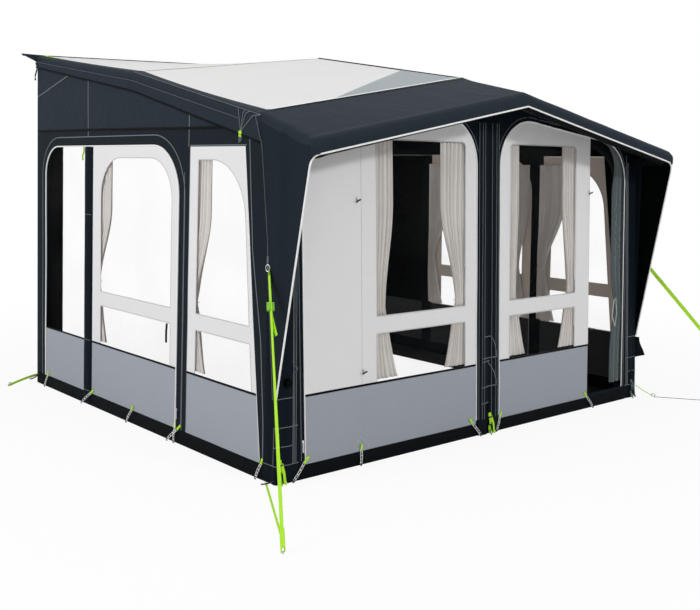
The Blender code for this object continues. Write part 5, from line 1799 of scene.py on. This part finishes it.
def storm_straps():
    """Webbing from each corner seam to its peg, with the eye that it hooks on and its loose end."""
    for label, wall, side in SIDES:
        seam = on_wall(wall, CORNER_SIDE - WEBBING_WIDTH, STORM_HEIGHT, 0.0125)
        foot_x = side * (BASE_WIDTH / 2 + STORM_SIDE_REACH + 0.006)
        foot = Vector((foot_x, -STORM_FRONT_REACH - 0.018, 0.003))
        top_turn, low_turn = (73, 58) if side < 0 else (86, 70)
        flat_strap(
            label + "_storm_webbing", [seam, foot], WEBBING_WIDTH, WEBBING_THICKNESS, LIME,
            turn=lambda share, top=top_turn, low=low_turn: lerp(top, low, ease((share - 0.3) / 0.45)),
            replaced=[label + "_storm_strap"],
        )
        loop = [on_wall(wall, 0.105, 1.185, 0.0125), on_wall(wall, 0.103, 1.14, 0.0135), seam]
        loop = tape(label + "_storm_loop", dense(loop, 0.01), 0.010, 0.003)
        finish_piece(loop, [GREY_TRIM])
        centre = on_wall(wall, 0.096, 1.125, 0.017)
        ring(label + "_storm_eye", centre, 0.013, 0.0022, (1, 0.3, 0), STEEL)
        along = (foot - seam).normalized()
        hook = seam.lerp(foot, 0.012)
        catch = [hook + Vector((0, 0, 0.03)), hook + Vector((side * 0.012, -0.01, 0.012)), hook]
        finish_piece(swept(label + "_storm_hook", bend(*catch), 0.007), [LIME_PLASTIC], angle=60)
        free = seam + along * 0.225
        tail = [free, free + along * 0.05 + Vector((side * 0.004, -0.012, -0.004)),
                free + along * 0.12 + Vector((-side * 0.004, -0.030, -0.02))]
        flat_strap(label + "_storm_tail", bend(*tail), WEBBING_WIDTH * 0.7, 0.0018, LIME,
                   turn=lambda share, side=side: 66 if side < 0 else 80)
        end_turn = [foot - along * 0.10 + Vector((0, 0, 0.006)), foot + Vector((0, 0, 0.004))]
        flat_strap(label + "_storm_end", end_turn, WEBBING_WIDTH + 0.006, 0.005, LIME,
                   turn=lambda share, low=low_turn: low)
        peg(label + "_storm_peg", foot + Vector((0, 0, -0.003)), (side * 0.6, -0.8, 0))


def ground_straps():
    """The straps that run out from the corners' feet to their pegs."""
    left = [Vector((-1.668, 0.063, 0.006)), Vector((-2.085, -0.640, 0.006))]
    flat_strap("left_foot_strand", left, WEBBING_WIDTH * 0.45, 0.002, LIME)
    right = bend((1.652, 0.009, 0.080), (1.672, -0.025, 0.052), (1.722, -0.105, 0.004))
    flat_strap("right_foot_strand", right, WEBBING_WIDTH * 0.8, 0.002, LIME)
    cord = [Vector((1.722, -0.105, 0.003)), Vector((1.93, -0.40, 0.003))]
    finish_piece(swept("right_foot_cord", dense(cord, 0.02), 0.004), [GREY_TRIM], angle=60)
    for label, _, side in SIDES:

        def bent(*corners, side=side):
            return bend(*(Vector((side * x, y, z)) for x, y, z in corners))

        prong = bent((1.652, 0.02, 0.02), (1.68, 0.022, 0.012), (1.70, 0.06, 0.004))
        finish_piece(swept(label + "_foot_hook", prong, 0.008), [PLASTIC], angle=60)
        rear = bent((1.653, 2.985, 0.062), (1.74, 2.992, 0.050), (1.87, 2.996, 0.006))
        flat_strap(
            label + "_rear_strap", rear, WEBBING_WIDTH, WEBBING_THICKNESS, LIME, turn=lambda share: 55
        )
        catch = bent((1.650, 2.984, 0.058), (1.69, 2.984, 0.030), (1.715, 2.984, 0.036))
        finish_piece(swept(label + "_rear_hook", catch, 0.009), [PLASTIC], angle=60)
        peg(label + "_rear_peg", (side * 1.87, 2.99, 0.001), (side, 0, 0))
    peg("left_foot_peg", (-2.085, -0.640, 0.001), (-0.6, -0.8, 0))
    peg("right_foot_peg", (1.722, -0.105, 0.001), (0.6, -0.8, 0))


def ladder_model(name):
    """One rubber peg ladder: a lime tab, two strands with their rungs, and the hook at its foot."""
    top, foot = Vector((0, 0, 0)), Vector((0, 0.016, -LADDER_FALL))
    across = Vector((0.0065, 0, 0))
    tab = tape("tab", [(0, 0.002, 0.024), (0, 0.003, 0.0), (0, 0.004, -0.008)], 0.015, 0.004)
    strands = []
    for sign in (-1, 1):
        middle = lerp(top, foot, 0.5) + across * sign + Vector((0, 0.010, 0))
        path = bend(top + across * sign, middle, foot + across * sign * 0.9, 10)
        strands.append(swept("strand", path, 0.0034))
    for step in range(1, 5):
        middle = lerp(top, foot, step / 5) + Vector((0, 0.006, 0)) * math.sin(math.pi * step / 5)
        strands.append(swept("rung", [middle - across, middle + across], 0.0032))
    turns = ((0.008, 0, 0.010), (0, 0.006, -0.004), (-0.010, 0.004, 0.006))
    hook = [foot + Vector(place) for place in turns]
    pieces = [tab, join("ladder_strands", strands), swept("hook", bend(*hook, 8), 0.0055)]
    for piece, finish in zip(pieces, (LIME, WHITE_TRIM, PLASTIC)):
        piece.data.materials.append(finish)
    return join(name, pieces)


def peg_ladders():
    """The ladders along the foot of the front and side walls, each its own copy of the first."""
    model = ladder_model("peg_ladder")
    spots = [(FRONT, u, slant) for u, slant in (
        (-1.458, -0.095), (-1.060, -0.014), (-0.150, 0.075), (0.118, -0.050), (1.027, 0.072),
    )]
    for _, wall, _ in SIDES:
        spots += [(wall, u, slant) for u, slant in (
            (0.125, 0.035), (0.965, 0.110), (1.005, -0.012),
            (1.526, 0.055), (2.097, 0.125), (2.80, 0.03),
        )]
    for index, (wall, u, slant) in enumerate(spots):
        select_only(model)
        bpy.ops.object.duplicate()
        ladder = bpy.context.object
        angle = math.atan2(slant, LADDER_FALL)
        slanted = Matrix.Rotation(-angle, 4, "Y") @ Matrix.Scale(1 / math.cos(angle), 4, (0, 0, 1))
        ladder.data.transform(slanted)
        along = wall.to_3x3() @ Vector((1, 0, 0))
        turn = Matrix((along, outward(wall), Vector((0, 0, 1)))).transposed().to_4x4()
        ladder.data.transform(Matrix.Translation(on_wall(wall, u, LADDER_HEIGHT, 0.003)) @ turn)
        if turn.determinant() < 0:
            ladder.data.flip_normals()
        finish_piece(ladder, [], angle=60)
        ladder.name = "peg_ladder_%02d" % (index + 1)
    bpy.data.objects.remove(model, do_unlink=True)


def base_ties():
    """Webbing down the foot of each sleeve, through its cam buckle to a loop on the ground."""
    for name, across, out, finish in (
        ("left_corner_tie", -1.630, 0.006, LIME),
        ("right_corner_tie", (BASE_WIDTH - CORNER_FRONT) / 2, 0.006, TIE),
        ("centre_tie", 0.0, 0.018, LIME),
    ):
        size = (WEBBING_WIDTH, WEBBING_THICKNESS)
        strap = [on_wall(FRONT, across, height, out + extra) for height, extra in (
            (0.004, 0.008), (0.03, 0.005), (0.05, 0.002), (0.062, 0.010), (0.085, 0.013),
            (0.11, 0.004), (0.135, 0.003),
        )]
        webbing = tape(name + "_webbing", dense(strap, 0.01), *size)
        finish_piece(webbing, [finish], replaced=[name])
        root = [on_wall(FRONT, across, height, out + 0.002) for height in (0.13, 0.2)]
        root = tape(name + "_root", dense(root, 0.01), *size)
        finish_piece(root, [DARK_TRIM])
        loose = [(0.012, 0.115, 0.006), (0.016, 0.07, 0.019), (0.022, 0.02, 0.020), (0.028, 0.006, 0.024)]
        loose = [on_wall(FRONT, across + u, v, out + n) for u, v, n in loose]
        tail = tape(name + "_tail", dense(loose, 0.01), WEBBING_WIDTH * 0.8, 0.002)
        finish_piece(tail, [finish])
        cams = []
        for height, reach in ((0.062, 0.016), (0.108, 0.009)):
            bpy.ops.object.select_all(action="DESELECT")
            bpy.ops.mesh.primitive_cube_add(size=1, location=(0, 0, 0))
            cam = bpy.context.object
            cam.scale = (WEBBING_WIDTH + 0.006, 0.009, 0.009)
            apply_place(cam)
            edit_whole(bpy.ops.mesh.bevel, offset=0.0028, segments=3)
            cam.data.transform(Matrix.Translation(on_wall(FRONT, across, height, out + reach)))
            cams.append(cam)
        finish_piece(join(name + "_cam", cams), [PLASTIC], angle=50)
        low = on_wall(FRONT, across, 0.0175, out + 0.014)
        ring(name + "_eye", low, 0.011, 0.0024, (0.2, -1, 0.4), LIME_PLASTIC)
        stake = on_wall(FRONT, across - 0.012, 0.0, out + 0.024)
        peg(name + "_peg", stake, (-0.5, -1, 0))


def right_corner():
    """The loose corner of cloth at the right wing's foot, and the toggle that ties the wing back."""

    def place(across, along):
        height = lerp(0.44, 0.30, along)
        x = side_reach(height) + 0.010 + 0.072 * along * (1 - across)
        ruffle = 0.006 * math.sin(along * 5 + across * 4)
        return Vector((x, lerp(-0.004, 0.036, across) + ruffle, height - 0.02 * across * along))

    flap = shaped_grid("right_corner_flap", 12, 16, place, CLOTH, (1, 0, 0))
    finish_piece(flap, [DEEP])

    start = on_wall(RIGHT, 0.034, 0.616, 0.011)
    end = start + Vector((0.040, -0.006, 0.002))
    stem = swept("stem", [start, end], 0.005)
    bar = swept("bar", [end + Vector((0, -0.004, -0.016)), end + Vector((0, 0.004, 0.016))], 0.008)
    finish_piece(join("right_wing_toggle", [stem, bar]), [PLASTIC], angle=60)


def left_corner():
    """The small loop on the left corner sleeve that a rolled leaf's tape passes through."""
    ring("left_sleeve_loop", on_wall(FRONT, -1.52, 0.60, 0.012), 0.011, 0.0026, (-0.3, -1, 0), TIE)


# Stage
def stage():
    """A pale floor, white far off, a white studio and four soft lamps."""
    bpy.ops.mesh.primitive_plane_add(size=FLOOR_SIZE, location=(0, 0, -FLOOR_DROP))
    floor = bpy.context.object
    floor.name = "floor"
    made, nodes, links, shader = new_material("floor")
    shader.inputs["Base Color"].default_value = (0.93, 0.93, 0.93, 1)
    shader.inputs["Roughness"].default_value = 0.9
    glow = nodes.new("ShaderNodeEmission")
    glow.inputs["Strength"].default_value = 1.0
    mix = nodes.new("ShaderNodeMixShader")
    path = nodes.new("ShaderNodeLightPath")
    place = nodes.new("ShaderNodeTexCoord")
    away = nodes.new("ShaderNodeVectorMath")
    away.operation = "DISTANCE"
    away.inputs[1].default_value = (0, LOOK_DEPTH, 0)
    links.new(place.outputs["Object"], away.inputs[0])
    fade = nodes.new("ShaderNodeMapRange")
    fade.interpolation_type = "SMOOTHSTEP"
    fade.inputs["From Min"].default_value = 2.0
    fade.inputs["From Max"].default_value = 6.5
    fade.inputs["To Min"].default_value = 0.9
    fade.inputs["To Max"].default_value = 1.0
    links.new(away.outputs["Value"], fade.inputs["Value"])
    seen = math_node(nodes, "MULTIPLY", path.outputs["Is Camera Ray"], fade.outputs[0])
    links.new(seen, mix.inputs[0])
    links.new(shader.outputs[0], mix.inputs[1])
    links.new(glow.outputs[0], mix.inputs[2])
    links.new(mix.outputs[0], nodes["Material Output"].inputs["Surface"])
    floor.data.materials.append(made)

    world = bpy.data.worlds.new("studio")
    bpy.context.scene.world = world
    world.use_nodes = True
    nodes, links = world.node_tree.nodes, world.node_tree.links
    back = nodes["Background"]
    back.inputs["Color"].default_value = (1, 1, 1, 1)
    path = nodes.new("ShaderNodeLightPath")
    seen = math_node(nodes, "MAXIMUM", path.outputs["Is Camera Ray"], path.outputs["Is Glossy Ray"])
    seen = math_node(nodes, "MAXIMUM", seen, path.outputs["Is Transmission Ray"])
    links.new(range_node(nodes, seen, 0.0, 1.0, STUDIO_LIGHT, 1.0), back.inputs["Strength"])

    for name, place, size, energy in (
        ("front_key", (1.5, -9.5, 6.2), 1.0, 350.0),
        ("side_fill", (-9.0, 2.0, 5.0), 5.0, 350.0),
        ("right_fill", (7.0, -6.0, 5.0), 6.0, 45.0),
        ("overhead", (-0.5, 0.5, 9.0), 6.0, 162.0),
    ):
        bpy.ops.object.light_add(type="AREA", location=place)
        lamp = bpy.context.object
        lamp.name = name
        lamp.data.size = size
        lamp.data.energy = energy
        lamp.rotation_mode = "QUATERNION"
        aim = Vector((0, LOOK_DEPTH, LOOK_HEIGHT)) - Vector(place)
        lamp.rotation_quaternion = aim.to_track_quat("-Z", "Y")


def camera():
    """The photograph's camera: its place, turn, lens and the offset of its middle."""
    yaw, pitch, roll = (math.radians(angle) for angle in (40.27, -7.11, 0.86))
    focal_pixels, image_width, image_height = 964.0, 700, 610
    middle_x, middle_y = 335.2, 285.8
    level = math.cos(pitch)
    forward = Vector((math.sin(yaw) * level, math.cos(yaw) * level, math.sin(pitch)))
    right = Vector((math.cos(yaw), -math.sin(yaw), 0))
    up = right.cross(forward)
    turned_right = right * math.cos(roll) + up * math.sin(roll)
    turned_up = up * math.cos(roll) - right * math.sin(roll)
    data = bpy.data.cameras.new("camera")
    data.sensor_width = 36
    data.lens = focal_pixels / image_width * data.sensor_width
    data.shift_x = (image_width / 2 - middle_x) / image_width
    data.shift_y = (middle_y - image_height / 2) / image_width
    seen = bpy.data.objects.new("camera", data)
    bpy.context.scene.collection.objects.link(seen)
    turn = Matrix((turned_right, turned_up, -forward)).transposed().to_4x4()
    seen.matrix_world = Matrix.Translation((-4.544, -3.868, 1.651)) @ turn
    bpy.context.scene.camera = seen


def small_fittings():
    """Rigid solids that keep their own shape get a fuller finish."""
    for node, finish in (
        ("inflation_valve", PAD), ("valve_cap", PAD),
        ("left_strap_buckle", LIME_PLASTIC), ("right_strap_buckle", LIME_PLASTIC),
        ("left_door_zip_slider", STEEL), ("right_door_zip_slider", STEEL),
        ("front_door_zip_slider", STEEL),
    ):
        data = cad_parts[node].data
        data.materials.clear()
        data.materials.append(finish)


camera()
roof_sheet()
hood_sheet()
hood_edge()
hood_wings()
eave_bands()
band_stitching()
roof_trims()
for side_label, side_plane, _ in SIDES:
    side_wall(side_label, side_plane)
    side_trims(side_label, side_plane)
    column_sleeve(side_label, side_plane)
    wall_toggles(side_label, side_plane)
front_wall()
front_trims()
front_toggles()
corner_sleeves()
centre_sleeve()
air_poles()
brow_beam()
curtains()
curtain_rods()
mesh_door()
rear_parts()
rail_bead()
storm_straps()
ground_straps()
peg_ladders()
base_ties()
right_corner()
left_corner()
small_fittings()
stage()
